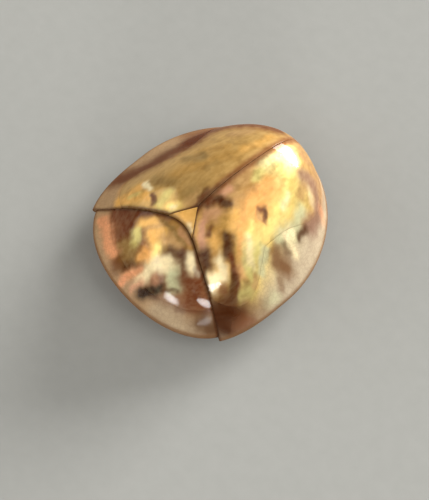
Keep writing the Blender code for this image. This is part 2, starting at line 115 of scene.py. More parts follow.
# Low swellings and dimples, alike on both sides: height, x, y and radius in millimetres.
CASE_SWELLINGS = (
    (0.05, 1.9, -1.4, 0.42), (-0.035, 1.22, 0.3, 0.2), (-0.04, 1.05, -1.4, 0.34),
    (-0.03, 0.5, -0.7, 0.3), (-0.03, 1.85, 0.5, 0.5), (0.02, 1.5, -0.5, 0.4),
)
SHIELD_SWELLINGS = ((0.03, 0.0, -2.3, 0.4), (-0.04, 0.75, -2.15, 0.3), (-0.03, 1.4, -2.2, 0.3))
WAVE_HEIGHT = 0.005 * MM

# Rows of punctures in the wing cases, spread over most of the width and not reaching the ends.
ROW_COUNT = 10
ROW_SPREAD = 0.8
ROW_END = 0.93
PIT_SPACING = 0.17 * MM
PIT_DEPTH = 0.0025 * MM
PIT_RADIUS = 0.024 * MM

# Trunk under the shell. Its plan and heights are the solids' own, and its rings and grooves are finer.
BELLY_HEIGHT = 0.78 * MM
BELLY_RISE = 0.06 * MM
CASE_CORE = 0.65
SHIELD_CORE = 0.60
WAIST_Y = -0.15 * MM
COLLAR_Y = -1.87 * MM
NECK_Y = -2.13 * MM
TAIL_Y = 2.15 * MM
RING_COUNT = 5
RING_STEP = 0.06 * MM
RING_SWELL = 0.03 * MM
GROOVE_DEPTH = 0.04 * MM
CHEST_SEAM_Y = -1.22 * MM
SEAM_DEPTH = 0.03 * MM
SEAM_REACH = 0.05 * MM
TRUNK_ROUND = 0.08 * MM
CUT = 0.1 * MM

# Head, mouth and feelers, where the solids' are.
HEAD_CENTRE = Vector((0, -2.51, 0.77)) * MM
HEAD_SEMI_AXES = np.array((0.6, 0.26, 0.4)) * MM
HEAD_TILT = Matrix.Rotation(math.radians(-30), 4, "X")
EYE_CENTRE = Vector((0.5, -2.52, 0.82)) * MM
EYE_SEMI_AXES = np.array((0.17, 0.17, 0.21)) * MM
MOUTH_CENTRE = Vector((0, -2.63, 0.48)) * MM
ANTENNA_PATH = np.array([(0.32, -2.84, 0.5), (0.95, -3.15, 0.3), (1.75, -2.5, 0.27)]) * MM
ANTENNA_LENGTHS = (1.5, 0.8, 1.0, 1.0, 1.0, 0.9, 0.9, 0.9, 0.9, 0.95, 1.3)
ANTENNA_RADII = np.array((0.1, 0.08, 0.07, 0.07, 0.075, 0.085, 0.1, 0.11, 0.115, 0.115, 0.11)) * MM

# Legs: hip, knee, ankle and toe in plan on the left side, and their heights, as the solids have.
LEG_PLANS = {
    "front": ((0.45, -1.98), (1.12, -2.16), (1.52, -2.12), (2.08, -2.18)),
    "middle": ((0.5, -0.95), (1.5, -0.95), (2.0, -0.72), (2.6, -0.62)),
    "hind": ((0.5, -0.42), (1.45, 0.3), (1.78, 0.84), (2.12, 1.38)),
}
LEG_HEIGHTS = (0.476, 0.46, 0.33, 0.0)

# Camera: angles round the beetle, in degrees, and how it frames a point above the origin.
CAMERA_AZIMUTH = 37.215
CAMERA_ELEVATION = 63.473
CAMERA_ROLL = 10.773
CAMERA_DISTANCE = 45.086 * MM
CAMERA_TARGET = Vector((0, 0.066, 1.4)) * MM
CAMERA_ASIDE = -0.173 * MM
CAMERA_ABOVE = -1.068 * MM
CAMERA_LENS = 116.19
SENSOR_WIDTH = 36

# Studio: the floor's radius, the light from all round, and the point that the lights are aimed at.
FLOOR_RADIUS = 0.24
SURROUND_STRENGTH = 0.4
LIGHT_TARGET = Vector((0, 0, 1.5)) * MM

# Points that are the same to within this are made one.
WELD = 1e-8


def band(distance, width, power=2):
    """One at distance nought, fading as a bell over width, flatter on top for a higher power."""
    return np.exp(-(np.abs(distance / width) ** power))


def lengthwise(y):
    """Share of the case's length from the crown to this y, and the power of its oval on that side."""
    back = y - CROWN_Y
    reach = np.where(back < 0, FRONT_REACH, REAR_REACH)
    return np.abs(back / reach), np.where(back < 0, FRONT_POWER, REAR_POWER)


def oval_share(x, y):
    """Share of the way from crown to case rim: the level of a superellipse through the point."""
    along, power = lengthwise(y)
    return (np.abs(x / HALF_WIDTH) ** power + along**power) ** (1 / power)


def shield_share(x, y):
    """The same share for the neck shield, whose oval has straight sides behind its centre."""
    ahead = np.minimum(y - SHIELD_CENTRE_Y, 0)
    level = np.abs(x / SHIELD_HALF_WIDTH) ** SHIELD_POWER + np.abs(ahead / SHIELD_REACH) ** SHIELD_POWER
    return level ** (1 / SHIELD_POWER)


def rearness(y):
    """Nought from the crown forwards, and one at the rear end."""
    return np.clip(y - CROWN_Y, 0, None) / REAR_REACH


def disc_edge(share, y):
    """Share at which the golden disc ends, in this point's direction from the crown.

    The direction is how far behind or ahead of the crown the point lies for its share. The rear's
    part grows as the sine of its square, the shoulder's is half a sine wave, the waist's a bell.
    """
    share = np.maximum(share, 1e-6)
    behind = np.clip(rearness(y) / share, 0, 1)
    ahead = np.clip((CROWN_Y - y) / FRONT_REACH / share, 0, SHOULDER_SPAN)
    shoulder = CASE_EDGE_SHOULDER * np.sin(ahead / SHOULDER_SPAN * math.pi)
    waist = CASE_EDGE_WAIST * band(behind - ahead - 0.15, 0.4, 4)
    return CASE_EDGE + CASE_EDGE_REAR * np.sin(behind**2 * math.pi / 2) + shoulder - waist


def base_line(x):
    """Y of the line between shield and cases: a bell-shaped lobe, with both ends turned forwards."""
    turn = np.clip((np.abs(x) - TURN_START) / TURN_SPAN, 0, None)
    return BASE_Y + LOBE_REACH * band(x, LOBE_SPREAD) - TURN_REACH * turn**2


def swellings(table, x, y):
    """Sum of round swellings, each its height at its centre and falling off as a bell over its radius."""
    side, y = np.abs(x) / MM, y / MM
    return MM * sum(height * band(np.hypot(side - cx, y - cy), radius) for height, cx, cy, radius in table)


def filleted(dome, brim, fillet):
    """The higher of the two heights, with a fillet where they cross."""
    return (dome + brim + np.hypot(dome - brim, fillet)) / 2


def pits(x, y):
    """Rows of round pits that run lengthwise at even shares of the width, staggered row by row."""
    along, power = lengthwise(y)
    row_width = HALF_WIDTH * np.clip(1 - along**power, 0.02, 1) ** (1 / power) * ROW_SPREAD / ROW_COUNT
    lane = np.abs(x) / row_width
    row = np.floor(lane)
    across = (lane - row - 0.5) * row_width
    step = y / PIT_SPACING + 0.37 * row
    forward = (step - np.floor(step) - 0.5) * PIT_SPACING
    present = np.clip((ROW_END - along) * 8, 0, 1)
    return present * band(np.hypot(across, forward), PIT_RADIUS)


def case_relief(x, y):
    """Low relief of a case: its swellings, slow waves that cross, and rows of pits."""
    waves = np.sin(np.abs(x) / (0.19 * MM) + 0.6 * np.sin(y / (0.5 * MM))) * np.sin(y / (0.62 * MM) + 1)
    inner = np.clip((0.8 - oval_share(x, y)) / 0.3, 0, 1)
    pitted = PIT_DEPTH * pits(x, y) * np.clip(inner * 4, 0, 1)
    return swellings(CASE_SWELLINGS, x, y) + WAVE_HEIGHT * waves * inner - pitted


def brim_top(share, rear=0.0):
    """Top of the brim, which rises evenly from its rim inwards, and less so at the rear."""
    return RIM_HEIGHT + BRIM_RISE * (1 - share) * (1 - BRIM_REAR_LOSS * rear**2)


def case_top(x, y):
    """A dome that falls with the square of share, and by its sixth power at the rear, on a brim."""
    share, rear = oval_share(x, y), rearness(y)
    dome = BODY_HEIGHT - CASE_DROP * share**2 + rear**2 * (REAR_FILL - REAR_FALL * share**6)
    return filleted(dome, brim_top(share, rear), CASE_FILLET) + case_relief(x, y)


def shield_top(x, y):
    """A dome tilted to the front that falls with the square and sixth power of share, on a brim."""
    share = shield_share(x, y)
    crest = SHIELD_HEIGHT + SHIELD_TILT * (y - SHIELD_CENTRE_Y)
    dome = crest - SHIELD_DROP * share**2 - SHIELD_FALL * share**6
    return filleted(dome, brim_top(share), SHIELD_FILLET) + swellings(SHIELD_SWELLINGS, x, y)


def brim_under(share, rear=0.0):
    """Underside of the brim, which thickens from its rim to its root."""
    root = np.clip((1 - share) / (1 - BRIM_START), 0, 1)
    return brim_top(share, rear) - BRIM_TIP - (BRIM_ROOT - BRIM_TIP) * root


def case_under(x, y):
    """Underside of a case: its wall's thickness below the top, and never below the brim's."""
    inner = case_top(x, y) - CASE_WALL * stretch(case_top, x, y)
    return np.maximum(inner, brim_under(oval_share(x, y), rearness(y)))


def shield_under(x, y):
    """Underside of the shield, in the same way."""
    inner = shield_top(x, y) - SHIELD_WALL * stretch(shield_top, x, y)
    return np.maximum(inner, brim_under(shield_share(x, y)))


def stretch(height, x, y):
    """How much longer a wall is measured straight down than square to the surface."""
    step = 0.04 * MM
    slope_x = (height(x + step, y) - height(x - step, y)) / (2 * step)
    slope_y = (height(x, y + step) - height(x, y - step)) / (2 * step)
    return np.minimum(np.sqrt(1 + slope_x**2 + slope_y**2), STEEPEST)


def rounding(distance, radius=EDGE_ROUND):
    """How far a quarter round of the given radius has dropped, at a distance in from the edge."""
    left = np.clip(radius - distance, 0, radius)
    return radius - np.sqrt(radius**2 - left**2)


def front_edge(x):
    """Y of a case's front edge: along the scutellum's side, then along the base line."""
    corner_x = SCUTELLUM_HALF_WIDTH + SEAM
    tip_y = SCUTELLUM_TIP_Y + SEAM
    corner_y = base_line(corner_x) + SEAM
    side = tip_y + (corner_y - tip_y) * np.clip(x / corner_x, 0, 1)
    return np.where(x < corner_x, side, base_line(x) + SEAM)


def halved(inside, low, high):
    """The value between low and high where inside first holds, found by halving 50 times."""
    for _ in range(50):
        middle = (low + high) / 2
        hit = inside(middle)
        low, high = np.where(hit, low, middle), np.where(hit, middle, high)
    return high


def eased(count, bunching):
    """Parameters from 0 to 1 that crowd towards both ends by the given amount."""
    even = np.linspace(0, 1, count)
    return (1 - bunching) * even + bunching * (1 - np.cos(math.pi * even)) / 2


def on_case(step, angle):
    """Plan point of a case on a ray from the crown: step 0 to 1 is its disc and 1 to 2 its brim."""
    level = oval_share(np.cos(angle), CROWN_Y + np.sin(angle))
    edge = disc_edge(level, CROWN_Y + np.sin(angle))
    share = np.where(step < 1, step * edge, edge + (step - 1) * (1 - edge))
    reach = share / level
    return reach * np.cos(angle), CROWN_Y + reach * np.sin(angle)


def case_grid(step_from, step_to, rows, columns):
    """Plan grid of the left case: each row runs round from the front edge to the seam."""
    step = np.linspace(step_from, step_to, rows)[:, None]

    def behind_edge(angle):
        x, y = on_case(step, angle)
        return y > front_edge(x)

    low = np.full_like(step, -math.pi / 2)
    start = np.where(behind_edge(low), low, halved(behind_edge, low, np.zeros_like(step)))
    angle = start + (math.pi / 2 - start) * eased(columns, 0.75)[None, :]
    x, y = on_case(step, angle)
    return np.maximum(x, SEAM / 2), y


def on_shield(step, angle):
    """Plan point of the shield on a ray from its centre, with step as for a case."""
    share = np.where(step < 1, step * SHIELD_EDGE, SHIELD_EDGE + (step - 1) * (1 - SHIELD_EDGE))
    level = shield_share(np.cos(angle), SHIELD_CENTRE_Y + np.sin(angle))
    return share / level * np.cos(angle), SHIELD_CENTRE_Y + share / level * np.sin(angle)


def shield_grid(step_from, step_to, rows, columns):
    """Plan grid of the shield: each row loops from the base line round to the base line."""
    step = np.linspace(step_from, step_to, rows)[:, None]

    def behind_edge(angle):
        x, y = on_shield(step, angle)
        return y > base_line(x) - SEAM / 2

    low = np.full_like(step, -math.pi / 3)
    start = halved(behind_edge, low, np.full_like(step, 0.5 * math.pi))
    angle = start + (-math.pi - 2 * start) * eased(columns, 0.6)[None, :]
    x, y = on_shield(step, angle)
    if step_from == 0:
        x[0] = 0
        y[0] = np.maximum(y[1], SHIELD_CENTRE_Y)
    return x, y


def weld(points, faces):
    """Points that round to the same place made one, and the faces that this closes up dropped."""
    _, first, index = np.unique(
        np.round(points / WELD).astype(np.int64), axis=0, return_index=True, return_inverse=True
    )
    faces = index.reshape(-1)[faces]
    a, b, c = faces.T
    return points[first], faces[(a != b) & (b != c) & (a != c)]


def facing_out(points, faces):
    """The faces turned, if needed, so that the closed surface has a positive volume."""
    return faces if np.linalg.det(points[faces]).sum() > 0 else faces[:, ::-1]


def strips(lower, upper):
    """Triangles between two index rows, or between two stacks of them."""
    a, b = lower[..., :-1].ravel(), lower[..., 1:].ravel()
    c, d = upper[..., :-1].ravel(), upper[..., 1:].ravel()
    return np.concatenate([np.stack([a, b, d], 1), np.stack([a, d, c], 1)])


def between(x, y, top, under):
    """Closed surface between two heights over one plan grid, walled where its border isn't doubled."""
    rows, columns = x.shape
    count = rows * columns
    points = np.concatenate([np.stack([x, y, z], -1).reshape(-1, 3) for z in (top, under)])
    grid = np.arange(count).reshape(rows, columns)
    sheet = strips(grid[:-1], grid[1:])
    border = np.concatenate([grid[:-1, 0], grid[-1, :-1], grid[:0:-1, -1], grid[0, :0:-1], grid[:1, 0]])
    edges = np.stack([border[:-1], border[1:]], 1)
    middles = np.round(points[edges].sum(axis=1) / WELD)
    _, index, times = np.unique(middles, axis=0, return_inverse=True, return_counts=True)
    edges = edges[times[index.reshape(-1)] == 1]
    wall = strips(edges + count, edges)
    points, faces = weld(points, np.concatenate([sheet, sheet[:, ::-1] + count, wall[:, ::-1]]))
    return points, facing_out(points, faces)


def unit(vectors):
    """The vectors, each made one long."""
    return vectors / np.linalg.norm(vectors, axis=-1, keepdims=True)


def tube(path, radii, sides=20, squash=1.0):
    """Closed bar: a ring of the given radius carried along path, squash times as high as wide."""
    path = np.asarray(path, float)
    forward = unit(np.gradient(path, axis=0))
    across = unit(np.cross(forward, (0, 0, 1)))
    upward = np.cross(across, forward)
    turn = np.linspace(0, 2 * math.pi, sides + 1)[None, :, None]
    ring = across[:, None] * np.cos(turn) + upward[:, None] * np.sin(turn) * squash
    rings = path[:, None] + np.asarray(radii)[:, None, None] * ring
    rings[:, -1] = rings[:, 0]
    rings = np.concatenate([0 * rings[:1] + path[0], rings, 0 * rings[:1] + path[-1]])
    grid = np.arange(rings[..., 0].size).reshape(rings.shape[:2])
    points, faces = weld(rings.reshape(-1, 3), strips(grid[:-1], grid[1:]))
    return points, facing_out(points, faces)


def curve(corners, count):
    """Points along a smooth curve through the corners, by a cubic through each four in a row."""
    corners = np.asarray(corners, float)
    ends = np.concatenate([2 * corners[:1] - corners[1:2], corners, 2 * corners[-1:] - corners[-2:-1]])
    place = np.linspace(0, len(corners) - 1, count)
    index = np.minimum(place.astype(int), len(corners) - 2)
    t = (place - index)[:, None]
    a, b, c, d = (ends[index + i] for i in range(4))
    square, cube = a - 2.5 * b + 2 * c - d / 2, 1.5 * (b - c) + (d - a) / 2
    return b + t * (c - a) / 2 + t**2 * square + t**3 * cube


def limb(corners, radii, count=40, **options):
    """A tube on a smooth curve through the corners, its radii read evenly along it."""
    share = np.linspace(0, 1, count)
    smooth = curve(np.asarray(radii)[:, None], count)[:, 0]
    ends = np.sqrt(np.clip(1 - (1 - np.minimum(share, 1 - share) / 0.06).clip(0, 1) ** 2, 0, 1))
    return tube(curve(corners, count), np.maximum(smooth * ends, 1e-7), **options)


def ball(centre, semi_axes, turn=Matrix(), rings=24, sides=36, shaping=None):
    """Closed ellipsoid from a latitude and longitude grid, bent by shaping if given, then turned."""
    latitude = np.linspace(-math.pi / 2, math.pi / 2, rings)[:, None]
    longitude = np.linspace(0, 2 * math.pi, sides + 1)[None, :]
    round_points = np.stack([
        np.cos(latitude) * np.cos(longitude),
        np.cos(latitude) * np.sin(longitude),
        np.sin(latitude) + 0 * longitude,
    ], -1)
    round_points[:, -1] = round_points[:, 0]
    round_points[0], round_points[-1] = (0, 0, -1), (0, 0, 1)
    if shaping:
        round_points = shaping(round_points)
    points = (round_points * np.asarray(semi_axes)) @ np.array(turn.to_3x3()).T + np.asarray(centre)
    grid = np.arange(points[..., 0].size).reshape(points.shape[:2])
    points, faces = weld(points.reshape(-1, 3), strips(grid[:-1], grid[1:]))
    return points, facing_out(points, faces)


def joined(parts):
    """Several closed surfaces as one set of points and faces."""
    starts = np.cumsum([0] + [len(points) for points, _ in parts[:-1]])
    faces = [faces + start for (_, faces), start in zip(parts, starts)]
    return np.concatenate([points for points, _ in parts]), np.concatenate(faces)


def on_side(side, shape):
    """A left-hand shape as it is, or its mirror image for the right side."""
    points, faces = shape
    return shape if side == "left" else (points * (-1, 1, 1), faces[:, ::-1])


def plate(x, y, to_edge, share, half_width, top_of, under_of):
    """Closed wall of a shell plate over its plan, with its cut edges and the nose of its rim rounded."""
    top = top_of(x, y) - rounding(to_edge)
    nose = rounding((1 - share(x, y)) * half_width, BRIM_TIP / 2)
    return between(x, y, top - nose, np.minimum(under_of(x, y) + nose, top - THINNEST))


def add_piece(name, shape, finish, node, paint=None, tip=0.0):
    """A piece at the origin, smooth but for its creases, standing for a CAD node.

    Paint is the colour and the shine of each point. Without it, tip is how dark each point is.
    """
    points, faces = shape
    mesh = bpy.data.meshes.new(name)
    mesh.vertices.add(len(points))
    mesh.vertices.foreach_set("co", points.astype(np.float32).ravel())
    mesh.loops.add(faces.size)
    mesh.loops.foreach_set("vertex_index", faces.astype(np.int32).ravel())
    mesh.polygons.add(len(faces))
    mesh.polygons.foreach_set("loop_start", np.arange(0, faces.size, 3, dtype=np.int32))
    mesh.update(calc_edges=True)
    mesh.shade_smooth()
    mesh.set_sharp_from_angle(angle=CREASE)
    if paint is None:
        layer = mesh.attributes.new("tip", "FLOAT", "POINT")
        layer.data.foreach_set("value", np.broadcast_to(tip, len(points)).astype(np.float32))
    else:
        layer = mesh.attributes.new("paint", "FLOAT_COLOR", "POINT")
        layer.data.foreach_set("color", paint.astype(np.float32).ravel())
    mesh.materials.append(finish)
    piece = bpy.data.objects.new(name, mesh)
    bpy.context.scene.collection.objects.link(piece)
    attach(piece, "root")
    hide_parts(node)


# Paints of the shell: a colour, and how much it shines like metal. Mauve, bronze, rust and umber are
# where the reflecting layers are thin and the brown body shows; umber at the shoulder is also painted
# shade. Black is a painted dark reflection. Yellow, straw, lime, green and cream are the gold's own
# hues and partly painted reflections and highlights, and copper on the shield's margin is a painted
# reflection. Olive is the gold painted duller, as painted shade on the far case. Horn, beige and smoke
# are the brim's own browns.
PAINTS = {
    "gold": ("#DBA654", 0.6),
    "orange": ("#E0A056", 0.55),
    "yellow": ("#F2D278", 0.65),
    "straw": ("#DECA7E", 0.65),
    "lime": ("#D6C674", 0.45),
    "cream": ("#FFE8B4", 0.25),
    "green": ("#CAC89A", 0.35),
    "amber": ("#F2B65E", 0.35),
    "tan": ("#CC9E62", 0.5),
    "pink": ("#DCA07A", 0.3),
    "copper": ("#E69E6E", 0.3),
    "olive": ("#CCA05A", 0.45),
    "moss": ("#94723A", 0.4),
    "mauve": ("#8E6A56", 0.1),
    "bronze": ("#804A2A", 0.1),
    "rust": ("#642C10", 0.0),
    "umber": ("#4A220A", 0.0),
    "black": ("#1C0F07", 0.0),
    "horn": ("#BE9A70", 0.0),
    "beige": ("#CCB898", 0.0),
    "smoke": ("#86603F", 0.0),
}

# Strokes: a paint, its strength, its half width and a line of points on the plan, in millimetres.
# X is to the beetle's left, and a later stroke lies over an earlier one.
LEFT_CASE = [
    ("tan", 0.8, 0.42, [(0.1, 2.6), (0.2, 1.2), (0.25, 0.0)]),
    # Straw here is partly the painted halo of the glint at the rear.
    ("straw", 0.95, 0.42, [(0.95, 1.75), (0.4, 1.3)]),
    ("yellow", 0.8, 0.45, [(1.15, 1.6), (1.47, 0.8), (1.75, -0.1), (2.05, -0.7), (2.2, -1.1)]),
    ("tan", 0.9, 0.25, [(0.15, 0.9), (0.3, 0.2), (0.58, -0.26)]),
    ("moss", 0.75, 0.14, [(0.51, 0.55), (0.6, 0.23), (0.81, -0.18)]),
    ("orange", 1.0, 0.34, [(0.8, 0.95), (0.92, 0.37), (1.13, -0.08)]),
    ("orange", 0.9, 0.1, [(1.12, -0.4), (1.45, -0.71), (1.66, -0.85)]),
    ("straw", 0.9, 0.1, [(1.4, -0.45), (1.62, -0.68), (1.85, -0.85)]),
    ("yellow", 1.0, 0.15, [(1.08, 1.67), (1.29, 1.1), (1.48, 0.74), (1.62, 0.19), (1.72, -0.22)]),
    ("cream", 0.6, 0.08, [(1.19, 1.33), (1.34, 0.97)]),
    ("yellow", 0.9, 0.14, [(1.5, 1.35), (1.6, 1.6)]),
    ("yellow", 0.85, 0.08, [(1.27, -0.05), (1.39, -0.3), (1.52, -0.59)]),
    ("lime", 0.9, 0.15, [(1.73, -0.27), (1.88, -0.61), (2.09, -0.73)]),
    ("cream", 0.6, 0.12, [(1.5, -0.45), (1.76, -0.6), (1.95, -0.68)]),
    ("green", 0.9, 0.18, [(1.72, 1.46), (1.86, 1.11), (1.89, 0.68), (1.9, 0.4)]),
    ("cream", 0.9, 0.11, [(1.88, 0.88), (1.94, 0.64)]),
    ("moss", 0.9, 0.08, [(2.03, -0.27), (1.95, -0.07), (1.91, 0.12)]),
    ("green", 0.8, 0.11, [(1.88, -0.12), (2.05, -0.32), (2.21, -0.49)]),
    ("bronze", 0.95, 0.08, [(1.05, 0.32), (1.15, 0.42), (1.27, 0.41), (1.31, 0.3)]),
    ("umber", 0.6, 0.05, [(1.14, 0.43), (1.29, 0.4)]),
    ("tan", 0.8, 0.06, [(1.15, 0.24), (1.2, 0.22)]),
    # Lime by the rear glint: partly a painted reflection.
    ("lime", 0.9, 0.13, [(0.42, 0.8), (0.39, 1.03)]),
    ("green", 0.45, 0.2, [(0.18, 1.25), (0.16, 1.57)]),
    ("tan", 0.8, 0.11, [(1.19, 2.0), (1.39, 1.65)]),
    ("cream", 0.6, 0.1, [(1.32, 2.15), (1.62, 1.97)]),
    ("mauve", 0.5, 0.2, [(0.6, 2.6), (1.0, 2.72), (1.4, 2.62)]),
    ("mauve", 0.95, 0.2, [(0.95, 2.1), (1.25, 2.35), (1.57, 2.3), (1.85, 2.02), (2.02, 1.58)]),
    ("umber", 0.9, 0.09, [(2.07, 1.03), (2.04, 1.39)]),
    ("cream", 0.8, 0.1, [(2.17, 0.62), (2.3, 0.73)]),
    ("umber", 0.7, 0.11, [(2.05, 0.48), (2.21, 0.52)]),
    ("smoke", 0.9, 0.14, [(2.01, 0.2), (2.2, 0.05)]),
    ("pink", 0.7, 0.17, [(0.31, -0.92), (0.51, -0.75)]),
    ("pink", 0.9, 0.13, [(0.17, -0.3), (0.21, -0.04)]),
    ("umber", 1.0, 0.15, [(0.11, -0.79), (0.15, -0.57)]),
    ("rust", 0.8, 0.11, [(0.15, -0.75), (0.39, -0.46)]),
    ("umber", 1.0, 0.15, [(0.26, -0.45), (0.5, -0.38)]),
    ("gold", 0.9, 0.14, [(0.76, -0.65), (0.79, -0.35)]),
    ("pink", 1.0, 0.11, [(0.38, -1.12), (0.61, -1.39), (0.82, -1.53)]),
    ("rust", 0.9, 0.09, [(0.69, -1.22), (0.66, -1.05)]),
    ("amber", 0.8, 0.13, [(0.89, -1.01), (0.94, -1.19), (0.97, -1.35)]),
    ("umber", 1.0, 0.18, [(1.13, -0.92), (1.39, -1.1)]),
    ("rust", 1.0, 0.13, [(1.57, -1.07), (1.87, -1.19), (2.21, -1.41)]),
    ("umber", 1.0, 0.2, [(1.0, -1.6), (1.2, -1.68)]),
    ("umber", 1.0, 0.1, [(1.27, -1.83), (1.62, -2.04)]),
    ("amber", 0.9, 0.09, [(1.57, -1.28), (1.68, -1.4)]),
    # Cream patches at the front of the case: painted highlights of a light in front, over paler gold.
    ("cream", 1.0, 0.11, [(1.33, -1.36), (1.56, -1.37)]),
    ("cream", 1.0, 0.17, [(1.56, -1.76), (1.65, -1.55)]),
    ("cream", 1.0, 0.11, [(1.67, -1.87), (1.78, -1.92)]),
    ("bronze", 0.9, 0.14, [(1.88, -1.7), (2.14, -1.64)]),
    ("umber", 0.9, 0.11, [(1.89, -1.28), (2.0, -1.45), (2.14, -1.6)]),
    # Umber at the shoulder, on the clear brim: painted shade, the dark shaded ground seen through it.
    ("umber", 1.0, 0.34, [(2.2, -2.14), (2.53, -2.05)]),
    ("umber", 1.0, 0.28, [(2.2, -1.87), (2.55, -1.48)]),
    ("copper", 0.5, 0.1, [(1.82, -0.97), (2.0, -1.05)]),
    ("lime", 0.9, 0.1, [(1.98, -0.76), (2.2, -0.9), (2.33, -1.08)]),
    ("moss", 0.9, 0.09, [(2.17, -1.02), (2.24, -1.1)]),
    ("lime", 0.9, 0.11, [(2.3, -1.26), (2.34, -0.96)]),
    ("tan", 0.8, 0.1, [(2.18, -0.72), (2.26, -0.86)]),
    ("smoke", 1.0, 0.22, [(2.33, 0.23), (2.49, 0.31)]),
    ("smoke", 0.6, 0.1, [(2.52, -0.06), (2.69, -0.12)]),
    ("green", 0.6, 0.14, [(2.79, -0.39), (2.79, -0.7)]),
    ("smoke", 0.6, 0.25, [(2.54, -1.18), (2.75, -0.89)]),
    ("bronze", 0.8, 0.22, [(2.76, -1.72), (2.86, -1.4)]),
    ("copper", 0.5, 0.11, [(1.82, 2.27), (2.01, 2.22)]),
]
RIGHT_CASE = [
    ("rust", 0.9, 0.3, [(-2.9, -1.3), (-2.43, -0.77), (-2.22, -0.23), (-2.08, 0.3), (-1.98, 0.75)]),
    ("rust", 0.95, 0.3, [
        (-1.98, 0.75), (-2.0, 1.2), (-1.65, 1.8), (-1.3, 2.1), (-0.9, 2.35), (-0.5, 2.6),
    ]),
    ("bronze", 0.7, 0.3, [(-2.5, 1.3), (-2.1, 2.1), (-1.5, 2.7)]),
    ("gold", 0.8, 0.17, [(-1.22, -0.56), (-0.87, 0.03), (-0.45, 1.0)]),
    ("amber", 0.6, 0.11, [(-0.43, 1.14), (-0.36, 1.62), (-0.31, 2.1)]),
    ("tan", 0.8, 0.14, [(-1.12, 1.48), (-0.89, 1.86)]),
    ("gold", 0.7, 0.14, [(-1.24, 0.44), (-0.87, 0.89)]),
    ("moss", 0.8, 0.15, [(-1.42, -0.05), (-1.18, 0.14)]),
    ("moss", 0.9, 0.12, [(-1.2, 0.28), (-1.05, 0.24)]),
    ("moss", 0.7, 0.17, [(-1.56, -1.02), (-1.03, -0.95)]),
    ("moss", 0.6, 0.14, [(-0.58, -1.01), (-0.47, -0.79)]),
    ("moss", 0.5, 0.1, [(-0.72, -0.01), (-0.61, 0.33)]),
    ("tan", 0.8, 0.17, [(-0.25, -1.03), (-0.18, -0.8)]),
    ("umber", 0.9, 0.1, [(-0.08, -0.76), (-0.12, -0.5)]),
    ("amber", 1.0, 0.15, [(-2.01, -1.87), (-1.66, -1.69)]),
    ("amber", 1.0, 0.14, [(-1.89, -1.58), (-1.82, -1.36)]),
    ("yellow", 0.8, 0.08, [(-1.78, -1.66), (-1.66, -1.52)]),
    ("amber", 1.0, 0.1, [(-1.53, -1.45), (-1.38, -1.59)]),
    ("cream", 1.0, 0.08, [(-1.76, -1.23), (-1.5, -1.3)]),
    ("rust", 0.9, 0.07, [(-1.27, -1.44), (-1.06, -1.59)]),
    ("lime", 0.8, 0.14, [(-0.89, -1.5), (-0.89, -1.22)]),
    ("yellow", 1.0, 0.13, [(-0.53, -1.4), (-0.44, -1.3)]),
    ("cream", 0.6, 0.06, [(-0.5, -1.38), (-0.45, -1.32)]),
]
SCUTELLUM = [
    ("amber", 0.9, 0.25, [(-0.1, -1.3), (0.0, -1.1)]),
    ("cream", 0.6, 0.07, [(0.2, -1.43), (0.3, -1.45)]),
]
